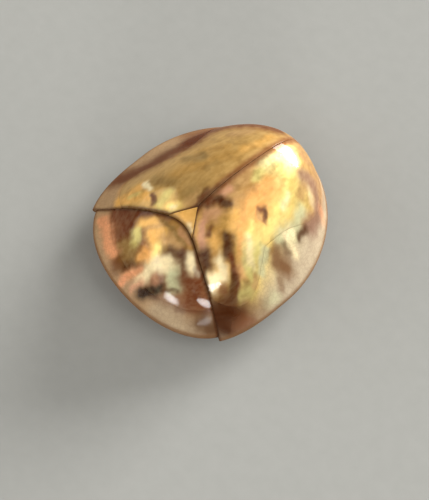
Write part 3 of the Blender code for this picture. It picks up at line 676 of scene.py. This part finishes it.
SHIELD = [
    ("rust", 1.0, 0.3, [(-1.62, -2.12), (-1.1, -2.08), (-1.09, -2.43), (-0.77, -2.91)]),
    ("moss", 0.8, 0.2, [(-0.95, -2.75), (-0.5, -2.84), (-0.11, -2.83)]),
    ("moss", 0.9, 0.25, [(-0.32, -2.07), (0.06, -2.05)]),
    ("tan", 0.9, 0.2, [(-0.56, -2.0), (-0.14, -1.98), (0.2, -1.97)]),
    ("gold", 0.9, 0.14, [(-0.9, -2.11), (-0.69, -1.89)]),
    ("gold", 0.8, 0.1, [(-0.39, -2.11), (-0.22, -1.91)]),
    ("amber", 1.0, 0.12, [(-0.47, -2.23), (-0.26, -2.27)]),
    ("lime", 0.9, 0.13, [(-0.87, -2.33), (-0.72, -2.51)]),
    ("gold", 0.7, 0.12, [(-0.19, -1.68), (0.25, -1.62), (0.65, -1.71)]),
    ("pink", 0.5, 0.08, [(0.1, -1.64), (0.5, -1.66)]),
    ("moss", 0.6, 0.05, [(-0.5, -1.81), (-0.04, -1.79), (0.31, -1.79), (0.57, -1.87)]),
    ("tan", 0.9, 0.1, [(0.0, -2.0), (0.34, -1.91)]),
    ("umber", 0.9, 0.16, [(0.29, -2.17), (0.62, -2.05), (0.79, -2.1)]),
    ("orange", 1.0, 0.13, [(-0.31, -2.61), (-0.05, -2.49)]),
    ("yellow", 0.9, 0.12, [(-0.04, -2.31), (0.04, -2.47)]),
    ("umber", 0.8, 0.12, [(-0.51, -2.98), (-0.18, -2.77)]),
    ("orange", 0.9, 0.12, [(-0.33, -2.6), (-0.13, -2.58)]),
    # Cream arc: partly a painted highlight of a low light in front.
    ("cream", 1.0, 0.16, [(0.04, -2.96), (0.07, -2.77), (0.2, -2.56), (0.41, -2.42)]),
    ("cream", 1.0, 0.14, [(0.38, -2.44), (0.63, -2.4)]),
    ("green", 1.0, 0.17, [(0.75, -2.43), (0.93, -2.53)]),
    ("pink", 0.8, 0.1, [(0.03, -3.24), (0.11, -3.06)]),
    ("pink", 0.6, 0.1, [(0.38, -2.8), (0.57, -2.77)]),
    ("rust", 0.8, 0.2, [(0.96, -2.22), (1.35, -2.24), (1.47, -2.43)]),
    ("cream", 1.0, 0.12, [(0.78, -1.92), (0.97, -1.98)]),
    ("beige", 0.7, 0.06, [(1.05, -1.95), (1.23, -1.92)]),
    # Copper along the right margin: a painted reflection.
    ("copper", 1.0, 0.13, [(-2.11, -2.45), (-1.72, -2.67), (-1.36, -2.86), (-1.07, -2.98)]),
    ("copper", 1.0, 0.12, [(-0.37, -3.35), (-0.32, -3.14), (-0.17, -2.92)]),
    # Black below the front arc: a painted dark reflection.
    ("black", 1.0, 0.13, [(0.29, -3.16), (0.47, -2.97), (0.63, -2.81)]),
    ("umber", 0.7, 0.05, [(0.69, -2.77), (1.08, -2.56)]),
    ("rust", 0.7, 0.07, [(1.34, -2.8), (1.5, -2.74)]),
    ("beige", 0.6, 0.25, [(0.94, -3.16), (1.48, -3.02), (2.01, -2.86)]),
    ("umber", 0.8, 0.25, [(2.03, -2.47), (2.36, -2.37)]),
]

# Waves that make the edges of strokes run unevenly: their height in millimetres, and for each wave
# its share of that, its turns along x and y in radians for each millimetre, and its start.
SWAY = 0.03
SWAYS_OF_X = ((1, 2.1, 7.3, 0), (0.6, -9.2, 17.1, 1.3), (0.3, 23, 31, 0))
SWAYS_OF_Y = ((1, 6.1, -3.3, 0.7), (0.6, 15.7, 11.3, 0), (0.3, 29, -27, 0))


def swayed(x, y):
    """Plan points, in millimetres, each moved by the sum of three crossed sine waves."""
    x, y = x / MM, y / MM
    sway_x, sway_y = (
        sum(share * np.sin(along * x + across * y + start) for share, along, across, start in waves)
        for waves in (SWAYS_OF_X, SWAYS_OF_Y)
    )
    return x + SWAY * sway_x, y + SWAY * sway_y


def mixed(name):
    """Linear red, green and blue of a paint, and its shine."""
    code, shine = PAINTS[name]
    return np.array((*linear(code)[:3], shine))


def painted(x, y, ground, strokes, lines, washes=()):
    """Colour and shine over a ground: each wash, stroke or line covers what is under it by its share.

    A stroke fades from its middle line as a bell. A wash, under the strokes, and a line, over them,
    is a paint with its cover at each point.
    """
    paint = np.tile(mixed(ground), (len(x), 1))
    x, y = swayed(x, y)
    covers = [(name, strength * stroke(x, y, *line)) for name, strength, *line in strokes]
    for name, cover in [*washes, *covers, *lines]:
        paint += np.clip(cover, 0, 1)[:, None] * (mixed(name) - paint)
    return paint


def stroke(x, y, half_width, points):
    """One on a line through the points, fading as a flat-topped bell over half_width."""
    nearest = np.full_like(x, np.inf)
    for (x0, y0), (x1, y1) in zip(points[:-1], points[1:]):
        run_x, run_y = x1 - x0, y1 - y0
        along = np.clip(((x - x0) * run_x + (y - y0) * run_y) / (run_x**2 + run_y**2), 0, 1)
        nearest = np.minimum(nearest, np.hypot(x - x0 - along * run_x, y - y0 - along * run_y))
    return np.exp(-0.7 * (nearest / half_width) ** 2.6)


def disc_paint(points, left):
    """Paint of a case's disc: strokes, then the seam, the base line and the disc's brown edge."""
    x, y = points[:, 0], points[:, 1]
    share, side = oval_share(x, y), np.abs(x)
    inward = disc_edge(share, y) - share
    to_base = y - front_edge(side)
    forward = np.clip(0.6 - 0.4 * y / MM, 0, 1)
    lines = [
        ("bronze", 0.15 * band(inward, 0.02)),
        ("bronze", 0.85 * band(side, 0.15 * MM, 3)),
        ("umber", 0.85 * band(side, 0.1 * MM, 4) * forward),
        ("umber", 0.9 * band(to_base, 0.065 * MM)),
    ]
    # Painted shade: the right case's ground is olive, its gold painted duller and darker than the left's.
    ground, strokes = ("gold", LEFT_CASE) if left else ("olive", RIGHT_CASE)
    return painted(x, y, ground, strokes, lines)


def brim_paint(points, left):
    """Paint of a case's brim: tan at its root, brown at its rim. Its shine sets how opaque it is."""
    x, y = points[:, 0], points[:, 1]
    share = oval_share(x, y)
    outward = share - disc_edge(share, y)
    to_base = y - front_edge(np.abs(x))
    washes = [("tan", 0.8 * band(outward, 0.03))]
    lines = [
        ("smoke", 0.9 * band((1 - share) * HALF_WIDTH, 0.06 * MM)),
        ("umber", 0.6 * band(to_base, 0.05 * MM)),
    ]
    ground, strokes = ("beige", LEFT_CASE) if left else ("horn", RIGHT_CASE)
    return painted(x, y, ground, strokes, lines, washes)


def shield_paint(points, ground):
    """Paint of the shield's disc or brim over its ground, with its dark hind line and brown rim."""
    x, y = points[:, 0], points[:, 1]
    share = shield_share(x, y)
    to_base = y - base_line(x)
    washes = [("bronze", 0.9 * band(share - SHIELD_EDGE, 0.05))]
    lines = [
        ("smoke", 0.9 * band((1 - share) * SHIELD_HALF_WIDTH, 0.06 * MM)),
        ("umber", 0.9 * band(to_base, 0.09 * MM, 3)),
    ]
    return painted(x, y, ground, SHIELD, lines, washes)


def linear(code):
    """An sRGB hex colour as the linear values that a shader takes."""
    values = [int(code[i:i + 2], 16) / 255 for i in (1, 3, 5)]
    return tuple(v / 12.92 if v <= 0.04045 else ((v + 0.055) / 1.055) ** 2.4 for v in values) + (1.0,)


def add_node(tree, kind, settings=None, links=None):
    """A node with its properties set, and its inputs set to values or joined to output sockets."""
    made = tree.nodes.new(kind)
    for key, value in (settings or {}).items():
        setattr(made, key, value)
    for key, value in (links or {}).items():
        socket = made.inputs[key]
        if isinstance(value, bpy.types.NodeSocket):
            tree.links.new(value, socket)
        else:
            socket.default_value = value
    return made


def new_finish(name, **constants):
    """A material with a bare Principled shader, its constant inputs set, and its node tree."""
    made = bpy.data.materials.new(name)
    made.use_nodes = True
    shader = made.node_tree.nodes["Principled BSDF"]
    for key, value in constants.items():
        shader.inputs[key.replace("_", " ")].default_value = value
    return made, made.node_tree, shader


def blended(tree, factor, first, second):
    """Colour mixed from first to second by factor."""
    mix = add_node(tree, "ShaderNodeMix", {"data_type": "RGBA"}, {0: factor, 6: first, 7: second})
    return mix.outputs[2]


def noise(tree, size_mm, detail=2.0, stretch_to=(1, 1, 1)):
    """Noise whose lumps are about size_mm across, longer along an axis where stretch_to is over 1."""
    place = add_node(tree, "ShaderNodeTexCoord").outputs["Object"]
    scale = [1 / (size_mm * MM * s) for s in stretch_to]
    placed = add_node(tree, "ShaderNodeMapping", links={"Vector": place, "Scale": scale})
    links = {"Vector": placed.outputs[0], "Scale": 1.0, "Detail": detail}
    return add_node(tree, "ShaderNodeTexNoise", links=links).outputs["Fac"]


def cells(tree, size_mm, feature="F1", randomness=1.0):
    """Distance in a pattern of cells about size_mm across."""
    place = add_node(tree, "ShaderNodeTexCoord").outputs["Object"]
    made = add_node(tree, "ShaderNodeTexVoronoi", {"feature": feature}, {
        "Vector": place, "Scale": 1 / (size_mm * MM), "Randomness": randomness,
    })
    return made.outputs["Distance"]


def ramped(tree, value, low, high, to_low=0.0, to_high=1.0):
    """Value taken from the range low to high into another range, smoothly."""
    links = {"Value": value, "From Min": low, "From Max": high, "To Min": to_low, "To Max": to_high}
    return add_node(tree, "ShaderNodeMapRange", {"interpolation_type": "SMOOTHSTEP"}, links).outputs[0]


def bumped(tree, shader, height, strength, depth_mm):
    """Fine relief on a shader, from a height value that stands depth_mm high."""
    links = {"Height": height, "Strength": strength, "Distance": depth_mm * MM}
    tree.links.new(add_node(tree, "ShaderNodeBump", links=links).outputs[0], shader.inputs["Normal"])


def gilt_finish():
    """Mirror-gold cuticle: many clear layers that reflect yellow, under one clear outer layer.

    The stack shines like a metal, with soft streaks along the body and faint brown blotches where the
    layers are thinner, and the outer layer adds sharp white glints. Fine wrinkles between the
    punctures are drawn 0.05 mm wide so that they show.
    """
    made, tree, shader = new_finish(
        "mirror_gold_cuticle", Coat_Weight=0.3, Coat_Roughness=0.05, Coat_IOR=1.5,
        Specular_IOR_Level=0.0,
    )
    paint = add_node(tree, "ShaderNodeAttribute", {"attribute_name": "paint"})
    grain = noise(tree, 0.12, 3, (1, 2.5, 1))
    darker = blended(tree, 0.12, paint.outputs["Color"], linear("#5A3418"))
    lighter = blended(tree, 0.05, paint.outputs["Color"], linear("#FFF0B8"))
    colour = blended(tree, ramped(tree, grain, 0.3, 0.7), darker, lighter)
    blotch = ramped(tree, noise(tree, 0.3, 2), 0.45, 0.75, 0.0, 0.25)
    colour = blended(tree, blotch, colour, linear("#6A4420"))
    tree.links.new(colour, shader.inputs["Base Color"])
    tree.links.new(ramped(tree, paint.outputs["Alpha"], 0, 1), shader.inputs["Metallic"])
    tree.links.new(ramped(tree, grain, 0.3, 0.7, 0.3, 0.38), shader.inputs["Roughness"])
    bumped(tree, shader, noise(tree, 0.05, 2), 0.12, 0.003)
    return made


def brim_finish():
    """Clear horn-coloured cuticle of the brim: slightly see-through, cloudy and softly glossy.

    The cells under its surface are drawn as a net 0.13 mm across, with fine specks, so that they show.
    """
    made, tree, shader = new_finish(
        "clear_brim_cuticle", Roughness=0.4, Coat_Weight=0.12, Coat_Roughness=0.1, Coat_IOR=1.5,
        Specular_IOR_Level=0.0,
    )
    paint = add_node(tree, "ShaderNodeAttribute", {"attribute_name": "paint"})
    net = ramped(tree, cells(tree, 0.13, "DISTANCE_TO_EDGE"), 0.0, 0.14)
    cloud = noise(tree, 0.4, 3)
    darker = blended(tree, 0.35, paint.outputs["Color"], linear("#6E4A30"))
    colour = blended(tree, ramped(tree, cloud, 0.35, 0.65, 0.45, 0.0), paint.outputs["Color"], darker)
    colour = blended(tree, net, blended(tree, 0.12, colour, linear("#5E4028")), colour)
    speck = ramped(tree, noise(tree, 0.12, 2), 0.4, 0.65, 0.0, 0.09)
    colour = blended(tree, speck, colour, linear("#6E4A30"))
    tree.links.new(colour, shader.inputs["Base Color"])
    tree.links.new(ramped(tree, paint.outputs["Alpha"], 0, 0.25, 0.84, 0.97), shader.inputs["Alpha"])
    bumped(tree, shader, net, 0.25, 0.005)
    return made


def horn_finish(name, pale, dark, size_mm, rough, tip="#2A1608"):
    """Glossy horn-like cuticle: cloudy brown under a clear skin that gives soft white glints.

    Its pits are 0.06 mm apart, and it is darker where the attribute tip says so.
    """
    made, tree, shader = new_finish(
        name, Coat_Weight=0.4, Coat_Roughness=0.12, Coat_IOR=1.52, Roughness=rough,
        Subsurface_Weight=0.15, Subsurface_Scale=0.05 * MM,
    )
    ends = add_node(tree, "ShaderNodeAttribute", {"attribute_name": "tip"})
    cloud = noise(tree, size_mm, 4)
    colour = blended(tree, ramped(tree, cloud, 0.35, 0.68), linear(pale), linear(dark))
    colour = blended(tree, ends.outputs["Fac"], colour, linear(tip))
    tree.links.new(colour, shader.inputs["Base Color"])
    bumped(tree, shader, ramped(tree, cells(tree, 0.06), 0.1, 0.4), 0.5, 0.004)
    return made


def eye_finish():
    """Black compound eye: hundreds of tiny glossy lenses, drawn 0.03 mm across so that they show."""
    made, tree, shader = new_finish(
        "faceted_black_eye", Roughness=0.16, Coat_Weight=0.5, Coat_Roughness=0.05
    )
    lens = ramped(tree, cells(tree, 0.03, randomness=0.25), 0.0, 0.7, 1.0, 0.0)
    colour = blended(tree, lens, linear("#050403"), linear("#1A120C"))
    tree.links.new(colour, shader.inputs["Base Color"])
    bumped(tree, shader, lens, 0.8, 0.005)
    return made


def floor_finish():
    """Plain matt card, pale grey, with a faint fibre."""
    made, tree, shader = new_finish("matt_pale_card", Roughness=0.9)
    colour = blended(tree, noise(tree, 0.4, 3), linear("#9E9E98"), linear("#A5A49F"))
    tree.links.new(colour, shader.inputs["Base Color"])
    return made


def direction(azimuth, elevation):
    """Unit vector from the beetle towards a place, by its angles round from the head and up."""
    a, e = math.radians(azimuth), math.radians(elevation)
    return Vector((math.sin(a) * math.cos(e), -math.cos(a) * math.cos(e), math.sin(e)))


def add_camera():
    """A camera at the photo's angle: back from the target, rolled about its line of sight."""
    roll = math.radians(CAMERA_ROLL)
    back = direction(CAMERA_AZIMUTH, CAMERA_ELEVATION)
    level = direction(CAMERA_AZIMUTH + 90, 0)
    above = back.cross(level)
    right = level * math.cos(roll) + above * math.sin(roll)
    up = above * math.cos(roll) - level * math.sin(roll)
    place = CAMERA_TARGET + back * CAMERA_DISTANCE
    aim = CAMERA_TARGET + right * CAMERA_ASIDE + up * CAMERA_ABOVE
    back = (place - aim).normalized()
    right = up.cross(back).normalized()
    up = back.cross(right)
    data = bpy.data.cameras.new("camera")
    data.sensor_width = SENSOR_WIDTH
    data.lens = CAMERA_LENS
    data.clip_start = 1 * MM
    data.clip_end = 2
    camera = bpy.data.objects.new("camera", data)
    camera.matrix_world = Matrix.Translation(place) @ Matrix((right, up, back)).transposed().to_4x4()
    bpy.context.scene.collection.objects.link(camera)
    bpy.context.scene.camera = camera


def add_softbox(name, azimuth, elevation, width, height, glow, turn=0.0, distance=0.25):
    """A soft oval light facing the beetle. Glow is its brightness as a mirror would show it.

    Its power is pi times the glow times the oval's area.
    """
    back = direction(azimuth, elevation)
    data = bpy.data.lights.new(name, "AREA")
    data.shape = "ELLIPSE"
    data.size, data.size_y = width, height
    data.energy = glow * math.pi * width * height * math.pi / 4
    light = bpy.data.objects.new(name, data)
    light.location = back * distance + LIGHT_TARGET
    facing = (-back).to_track_quat("-Z", "Y") @ Quaternion((0, 0, 1), math.radians(turn))
    light.rotation_euler = facing.to_euler()
    light.visible_camera = False
    bpy.context.scene.collection.objects.link(light)


def add_studio():
    """Pale card floor, pale surroundings, soft windows on all sides and two low, narrow lamps.

    The large window behind makes the glint at the rear, and the lamps make the small ones in front.
    """
    bpy.ops.mesh.primitive_circle_add(vertices=96, radius=FLOOR_RADIUS, fill_type="NGON")
    floor = bpy.context.object
    floor.name = "floor"
    floor.data.materials.append(floor_finish())
    world = bpy.data.worlds.new("studio")
    world.use_nodes = True
    surround = world.node_tree.nodes["Background"].inputs
    surround["Color"].default_value = linear("#E6E4DF")
    surround["Strength"].default_value = SURROUND_STRENGTH
    bpy.context.scene.world = world
    add_softbox("window_behind", 179, 15, 0.42, 0.2, 25, turn=30, distance=0.5)
    add_softbox("window_side", 118, 33, 0.2, 0.3, 1.8)
    add_softbox("window_front", -45, 20, 0.34, 0.17, 2.0)
    add_softbox("window_above", 15, 42, 0.32, 0.09, 1.0)
    add_softbox("window_low", -12, 3, 0.12, 0.05, 3.0)
    add_softbox("lamp_front", 13, 2.8, 0.079, 0.0026, 60, turn=16)
    add_softbox("lamp_side", 52, 15.4, 0.1, 0.018, 40, turn=-5)
    bpy.context.scene.view_settings.view_transform = "Standard"


def add_cases(gilt, brim):
    """Both wing cases, each an opaque disc and a clear brim that meet at the disc's edge."""
    for part, finish, slot, paint, steps, rows in (
        ("disc", gilt, "gold_cuticle", disc_paint, DISC_STEPS, 110),
        ("brim", brim, "clear_cuticle", brim_paint, CASE_BRIM_STEPS, 44),
    ):
        x, y = case_grid(*steps, rows, 320)
        to_edge = np.minimum(x - SEAM / 2, y - front_edge(x))
        left = plate(x, y, to_edge, oval_share, HALF_WIDTH, case_top, case_under)
        for side in ("left", "right"):
            shape = on_side(side, left)
            marks = paint(shape[0], side == "left")
            add_piece(f"wing_case_{part}_{side}", shape, finish, f"elytron_{side}", marks)


def add_shield(gilt, brim):
    """The neck shield, as an opaque disc and a clear brim."""
    for part, finish, slot, ground, steps, rows in (
        ("disc", gilt, "gold_cuticle", "bronze", DISC_STEPS, 84),
        ("brim", brim, "clear_cuticle", "horn", SHIELD_BRIM_STEPS, 36),
    ):
        x, y = shield_grid(*steps, rows, 360)
        to_edge = base_line(x) - SEAM / 2 - y
        shape = plate(x, y, to_edge, shield_share, SHIELD_HALF_WIDTH, shield_top, shield_under)
        marks = shield_paint(shape[0], ground)
        add_piece(f"neck_shield_{part}", shape, finish, "pronotum", marks)


def add_scutellum(gilt):
    """The small triangle behind the shield, its edges rounded."""
    across = eased(61, 0.7)[None, :] * 2 - 1
    share = eased(41, 0.7)[:, None]
    base_x = across * SCUTELLUM_HALF_WIDTH
    base_y = base_line(base_x) + SEAM / 2
    x = share * base_x
    y = SCUTELLUM_TIP_Y + share * (base_y - SCUTELLUM_TIP_Y)
    to_side = share * (SCUTELLUM_HALF_WIDTH - np.abs(base_x)) * 0.8
    top = case_top(x, y) - rounding(np.minimum(to_side, np.abs(y - base_y)))
    shape = between(x, y, top, top - SCUTELLUM_DEPTH)
    x, y = shape[0][:, 0], shape[0][:, 1]
    lines = [("umber", 0.7 * band(y - base_line(x), 0.05 * MM))]
    marks = painted(x, y, "gold", SCUTELLUM, lines)
    add_piece("scutellum_plate", shape, gilt, "scutellum", marks)


def core_half_width(y):
    """Half width of the trunk below the cases."""
    along, power = lengthwise(y)
    return HALF_WIDTH * (CASE_CORE**power - along**power) ** (1 / power)


def neck_half_width(y):
    """Half width of the trunk below the shield."""
    ahead = np.minimum(y - SHIELD_CENTRE_Y, 0)
    level = SHIELD_CORE**SHIELD_POWER - np.abs(ahead / SHIELD_REACH) ** SHIELD_POWER
    return SHIELD_HALF_WIDTH * level ** (1 / SHIELD_POWER)


# Relief of the underside, as heights added to the plain belly. All three are called alike.
def ringed(x, y, half_width):
    """Five rings of the abdomen, each swelling a little and stepping below the next."""
    part = (y - WAIST_Y) / (TAIL_Y - WAIST_Y) * RING_COUNT % 1
    return RING_STEP * (1 - part) - RING_SWELL * np.sin(math.pi * part) ** 0.7


def chested(x, y, half_width):
    """A groove down the middle of the thorax, and seams across it and along its sides."""
    seams = band(y - CHEST_SEAM_Y, SEAM_REACH) + band(np.abs(x) - 0.75 * half_width, SEAM_REACH)
    return GROOVE_DEPTH * band(x, 0.06 * MM) + SEAM_DEPTH * seams


def necked(x, y, half_width):
    """A low keel down the middle, below the shield."""
    return -GROOVE_DEPTH * band(x, 0.12 * MM)


def add_trunk(horn):
    """The three lengths of the trunk, from the belly up to just below the shell."""
    gap = CUT / 4
    below_shield = (neck_half_width, shield_top, shield_under)
    below_cases = (core_half_width, case_top, case_under)
    for name, node, start, end, (half_width, top_of, under_of), relief, rows in (
        ("prosternum_plate", "prosternum", NECK_Y, COLLAR_Y - gap, below_shield, necked, 24),
        ("thorax_plates", "thorax", COLLAR_Y + gap, WAIST_Y - gap, below_cases, chested, 90),
        ("abdomen_rings", "abdomen", WAIST_Y + gap, TAIL_Y, below_cases, ringed, 160),
    ):
        across = eased(81, 0.5)[None, :] * 2 - 1
        y = np.linspace(start, end, rows)[:, None] + 0 * across
        width = half_width(y)
        x = across * width
        to_edge = np.minimum(width - np.abs(x), np.minimum(y - start, end - y))
        edge = rounding(np.maximum(to_edge, 0), TRUNK_ROUND)
        top = under_of(x, y) - CUT * stretch(top_of, x, y) - edge
        under = BELLY_HEIGHT + BELLY_RISE * across**2 + relief(x, y, width) + edge
        shape = between(x, y, np.maximum(top, under + 5 * THINNEST), under)
        add_piece(name, shape, horn, node)


def skull(points):
    """A ball with a shallow groove down the face and a dent for each feeler."""
    x, y, z = np.moveaxis(points, -1, 0)
    groove = 0.05 * band(x, 0.07)
    dents = 0.07 * band(np.abs(x) - 0.42, 0.14) * band(z + 0.35, 0.25)
    return points * (1 - (groove + dents) * np.clip(-y, 0, 1))[..., None]


def antenna():
    """Eleven beads along one smooth bend, and how dark each point is: the outer four are brown."""
    starts = np.cumsum([0, *ANTENNA_LENGTHS]) / np.sum(ANTENNA_LENGTHS)
    root, bend, tip = ANTENNA_PATH
    along = np.linspace(0, 1, 16)
    profile = 0.5 + 0.5 * np.sin(math.pi * (0.12 + 0.76 * along**0.85))
    profile[[0, -1]] = 0.35
    beads = []
    for start, end, radius in zip(starts[:-1], starts[1:], ANTENNA_RADII):
        share = (start + (end - start) * along)[:, None]
        path = (1 - share) ** 2 * root + 2 * share * (1 - share) * bend + share**2 * tip
        beads.append(tube(path, radius * profile, sides=18))
    brown = 0.85 * np.clip(np.arange(len(beads)) / 2 - 3, 0, 1)
    return joined(beads), np.repeat(brown, [len(points) for points, _ in beads])


def mouth():
    """A mound with an upper lip, two jaws that nearly meet, and two pairs of jointed palps."""
    centre = np.array(MOUTH_CENTRE)
    parts = [
        ball(centre, np.array((0.26, 0.16, 0.19)) * MM),
        ball(centre + np.array((0, -0.1, -0.07)) * MM, np.array((0.17, 0.08, 0.07)) * MM),
    ]

    def line(side, *corners):
        return centre + np.array(corners) * (side, 1, 1) * MM

    for side in (-1, 1):
        parts.append(limb(
            line(side, (0.13, -0.05, -0.08), (0.12, -0.1, -0.17), (0.03, -0.13, -0.24)),
            np.array((0.06, 0.055, 0.015)) * MM, 20, sides=12,
        ))
        for start, end, radius in (
            ((0.2, -0.02, -0.1), (0.26, -0.1, -0.17), 0.04),
            ((0.26, -0.1, -0.17), (0.27, -0.19, -0.22), 0.045),
            ((0.27, -0.19, -0.22), (0.22, -0.27, -0.26), 0.035),
            ((0.08, 0.02, -0.16), (0.1, -0.05, -0.24), 0.03),
            ((0.1, -0.05, -0.24), (0.07, -0.13, -0.28), 0.028),
        ):
            middle = (np.array(start) + np.array(end)) / 2
            radii = np.array((0.6, 1.1, 0.7)) * radius * MM
            parts.append(limb(line(side, start, middle, end), radii, 14, sides=10))
    return joined(parts)


def add_head(amber, black):
    """Head, mouth parts that darken downwards, and an eye and a feeler on each side."""
    head = ball(HEAD_CENTRE, HEAD_SEMI_AXES, HEAD_TILT, rings=48, sides=80, shaping=skull)
    add_piece("head_capsule", head, amber, "head")
    parts = mouth()
    dark = np.clip((MOUTH_CENTRE.z - 0.1 * MM - parts[0][:, 2]) / (0.15 * MM), 0, 0.9)
    add_piece("mouth_parts", parts, amber, "head", tip=dark)
    eye = ball(EYE_CENTRE, EYE_SEMI_AXES, rings=32, sides=48)
    beads, brown = antenna()
    for side in ("left", "right"):
        add_piece(f"compound_eye_{side}", on_side(side, eye), black, f"eye_{side}")
        feeler = on_side(side, beads)
        add_piece(f"feeler_{side}", feeler, amber, f"antenna_{side}", tip=brown)


def loaf(centre, heading, length, width, height, wall):
    """A foot joint: a low rounded loaf, slightly waisted at its root, on a flat oval sole."""
    turn = np.linspace(0, 2 * math.pi, 37)[None, :]
    share = np.concatenate([np.sin(np.linspace(0, math.pi / 2, 14)), [1.0]])[:, None]
    ahead = share * np.cos(turn) * length / 2
    narrowing = 1 - 0.25 * np.clip(-np.cos(turn), 0, 1)
    sideways = share * np.sin(turn) * width / 2 * narrowing
    x = centre[0] + ahead * heading[0] - sideways * heading[1]
    y = centre[1] + ahead * heading[1] + sideways * heading[0]
    crown = wall + (height - wall) * np.sqrt(np.clip(1 - share**2, 0, 1)) + 0 * turn
    sole = 0.02 * MM * np.clip((share - 0.85) / 0.15, 0, 1) ** 2 + 0 * turn
    crown[-1] = wall * 0.6
    return between(x, y, crown, np.minimum(sole, crown - 1e-6))


def hairs(places, directions, length, radius):
    """Short tapered bristles, each a four-sided spike from its place along its direction."""
    radii = np.array((1, 0.7, 0.1)) * radius
    ways = unit(np.asarray(directions, float)) * length
    return joined([
        tube([place, place + way * 0.5, place + way], radii, sides=4) for place, way in zip(places, ways)
    ])


def leg(plan):
    """A left leg: its limb, from the hip to a shin with spurs, its fringed foot, and its claws."""
    hip, knee, ankle, toe = (np.array((x, y, z)) * MM for (x, y), z in zip(plan, LEG_HEIGHTS))
    run = knee - hip
    mid = (hip + knee) / 2
    thigh = limb(
        (hip + 0.1 * run, hip + 0.35 * run, mid + (0, 0, 0.02 * MM), hip + 0.8 * run, knee),
        np.array((0.11, 0.18, 0.21, 0.17, 0.1)) * MM, 48, sides=24, squash=0.85,
    )
    overlap = (ankle - knee) * 0.1
    bow = (knee + ankle) / 2 + np.array((0, 0, 0.03)) * MM
    shin = limb(
        (knee - overlap, bow, ankle + overlap),
        np.array((0.08, 0.12, 0.155)) * MM, 40, sides=24, squash=0.9,
    )
    parts = [
        ball(hip, np.array((0.25, 0.25, 0.3)) * MM),
        ball(hip + 0.16 * run, np.array((0.15, 0.15, 0.15)) * MM, rings=18, sides=24),
        ball(knee, np.array((0.12, 0.12, 0.12)) * MM, rings=18, sides=24),
        thigh, shin,
    ]
    heading = unit((toe - ankle)[:2])
    length = np.linalg.norm((toe - ankle)[:2])
    sideways = np.array((-heading[1], heading[0]))

    def spot(share, offset=0.0):
        return ankle[:2] + (toe - ankle)[:2] * share + sideways * offset

    for offset in (-0.1, 0.1):
        root = np.array((*spot(0.0, offset * MM), 0.3 * MM))
        way = np.array((*(heading * 0.8 + sideways * offset * 4), -0.4))
        parts.append(hairs([root], [way], 0.14 * MM, 0.02 * MM))
    foot = [
        loaf(spot(0.04), heading, 0.32 * length, 0.24 * MM, 0.36 * MM, 0.1 * MM),
        loaf(spot(0.3), heading, 0.34 * length, 0.32 * MM, 0.32 * MM, 0.1 * MM),
        loaf(spot(0.58, 0.1 * MM), heading, 0.46 * length, 0.22 * MM, 0.27 * MM, 0.09 * MM),
        loaf(spot(0.58, -0.1 * MM), heading, 0.46 * length, 0.22 * MM, 0.27 * MM, 0.09 * MM),
        limb(
            [(*spot(0.5), 0.2 * MM), (*spot(0.75), 0.23 * MM), (*spot(0.95), 0.19 * MM)],
            np.array((0.04, 0.05, 0.06)) * MM, 24, sides=14,
        ),
    ]
    claws = []
    for side in (-1, 1):
        corners = [
            (*spot(0.9, side * 0.02 * MM), 0.19 * MM), (*spot(1.03, side * 0.08 * MM), 0.21 * MM),
            (*spot(1.13, side * 0.14 * MM), 0.15 * MM), (*spot(1.16, side * 0.17 * MM), 0.06 * MM),
        ]
        claws.append(limb(corners, np.array((0.035, 0.035, 0.025, 0.008)) * MM, 24, sides=12))
    fringe = [(share, side) for share in np.linspace(0.12, 0.8, 12) for side in (-1, 1)]
    places = [(*spot(share, side * 0.15 * MM), 0.08 * MM) for share, side in fringe]
    ways = [(*(sideways * side + heading * 0.5), -0.35) for _, side in fringe]
    foot.append(hairs(np.array(places), ways, 0.09 * MM, 0.01 * MM))
    return joined(parts), joined(foot), joined(claws)


def add_legs(horn, claw):
    """Six legs, each a limb that is darker at the knee, a foot and a pair of claws."""
    for name, plan in LEG_PLANS.items():
        limbs, foot, claws = leg(plan)
        knee = np.array(plan[1]) * MM
        at_knee = 0.5 * band(np.linalg.norm(limbs[0][:, :2] - knee, axis=1), 0.16 * MM)
        for side in ("left", "right"):
            node = f"leg_{name}_{side}"
            add_piece(f"limb_{name}_{side}", on_side(side, limbs), horn, node, tip=at_knee)
            add_piece(f"foot_{name}_{side}", on_side(side, foot), horn, node)
            add_piece(f"claws_{name}_{side}", on_side(side, claws), claw, node, tip=0.3)


gilt = gilt_finish()
brim = brim_finish()

# Cuticle of the head and feelers in amber, of the legs in a paler amber, of the belly in a brown dark
# enough to set off the legs, and of the claws in a mid brown.
amber = horn_finish("amber_cuticle", "#B9772F", "#8A4E1E", 0.3, 0.3, "#3A2010")
leg_horn = horn_finish("amber_leg_cuticle", "#BB8038", "#965A24", 0.3, 0.32, "#5A3014")
brown = horn_finish("brown_belly_cuticle", "#4E2E1A", "#2C170C", 0.35, 0.38)
claw_horn = horn_finish("brown_claw_cuticle", "#5A3418", "#3A1E0C", 0.2, 0.3)
add_camera()
add_studio()
add_cases(gilt, brim)
add_shield(gilt, brim)
add_scutellum(gilt)
add_trunk(brown)
add_head(amber, eye_finish())
add_legs(leg_horn, claw_horn)
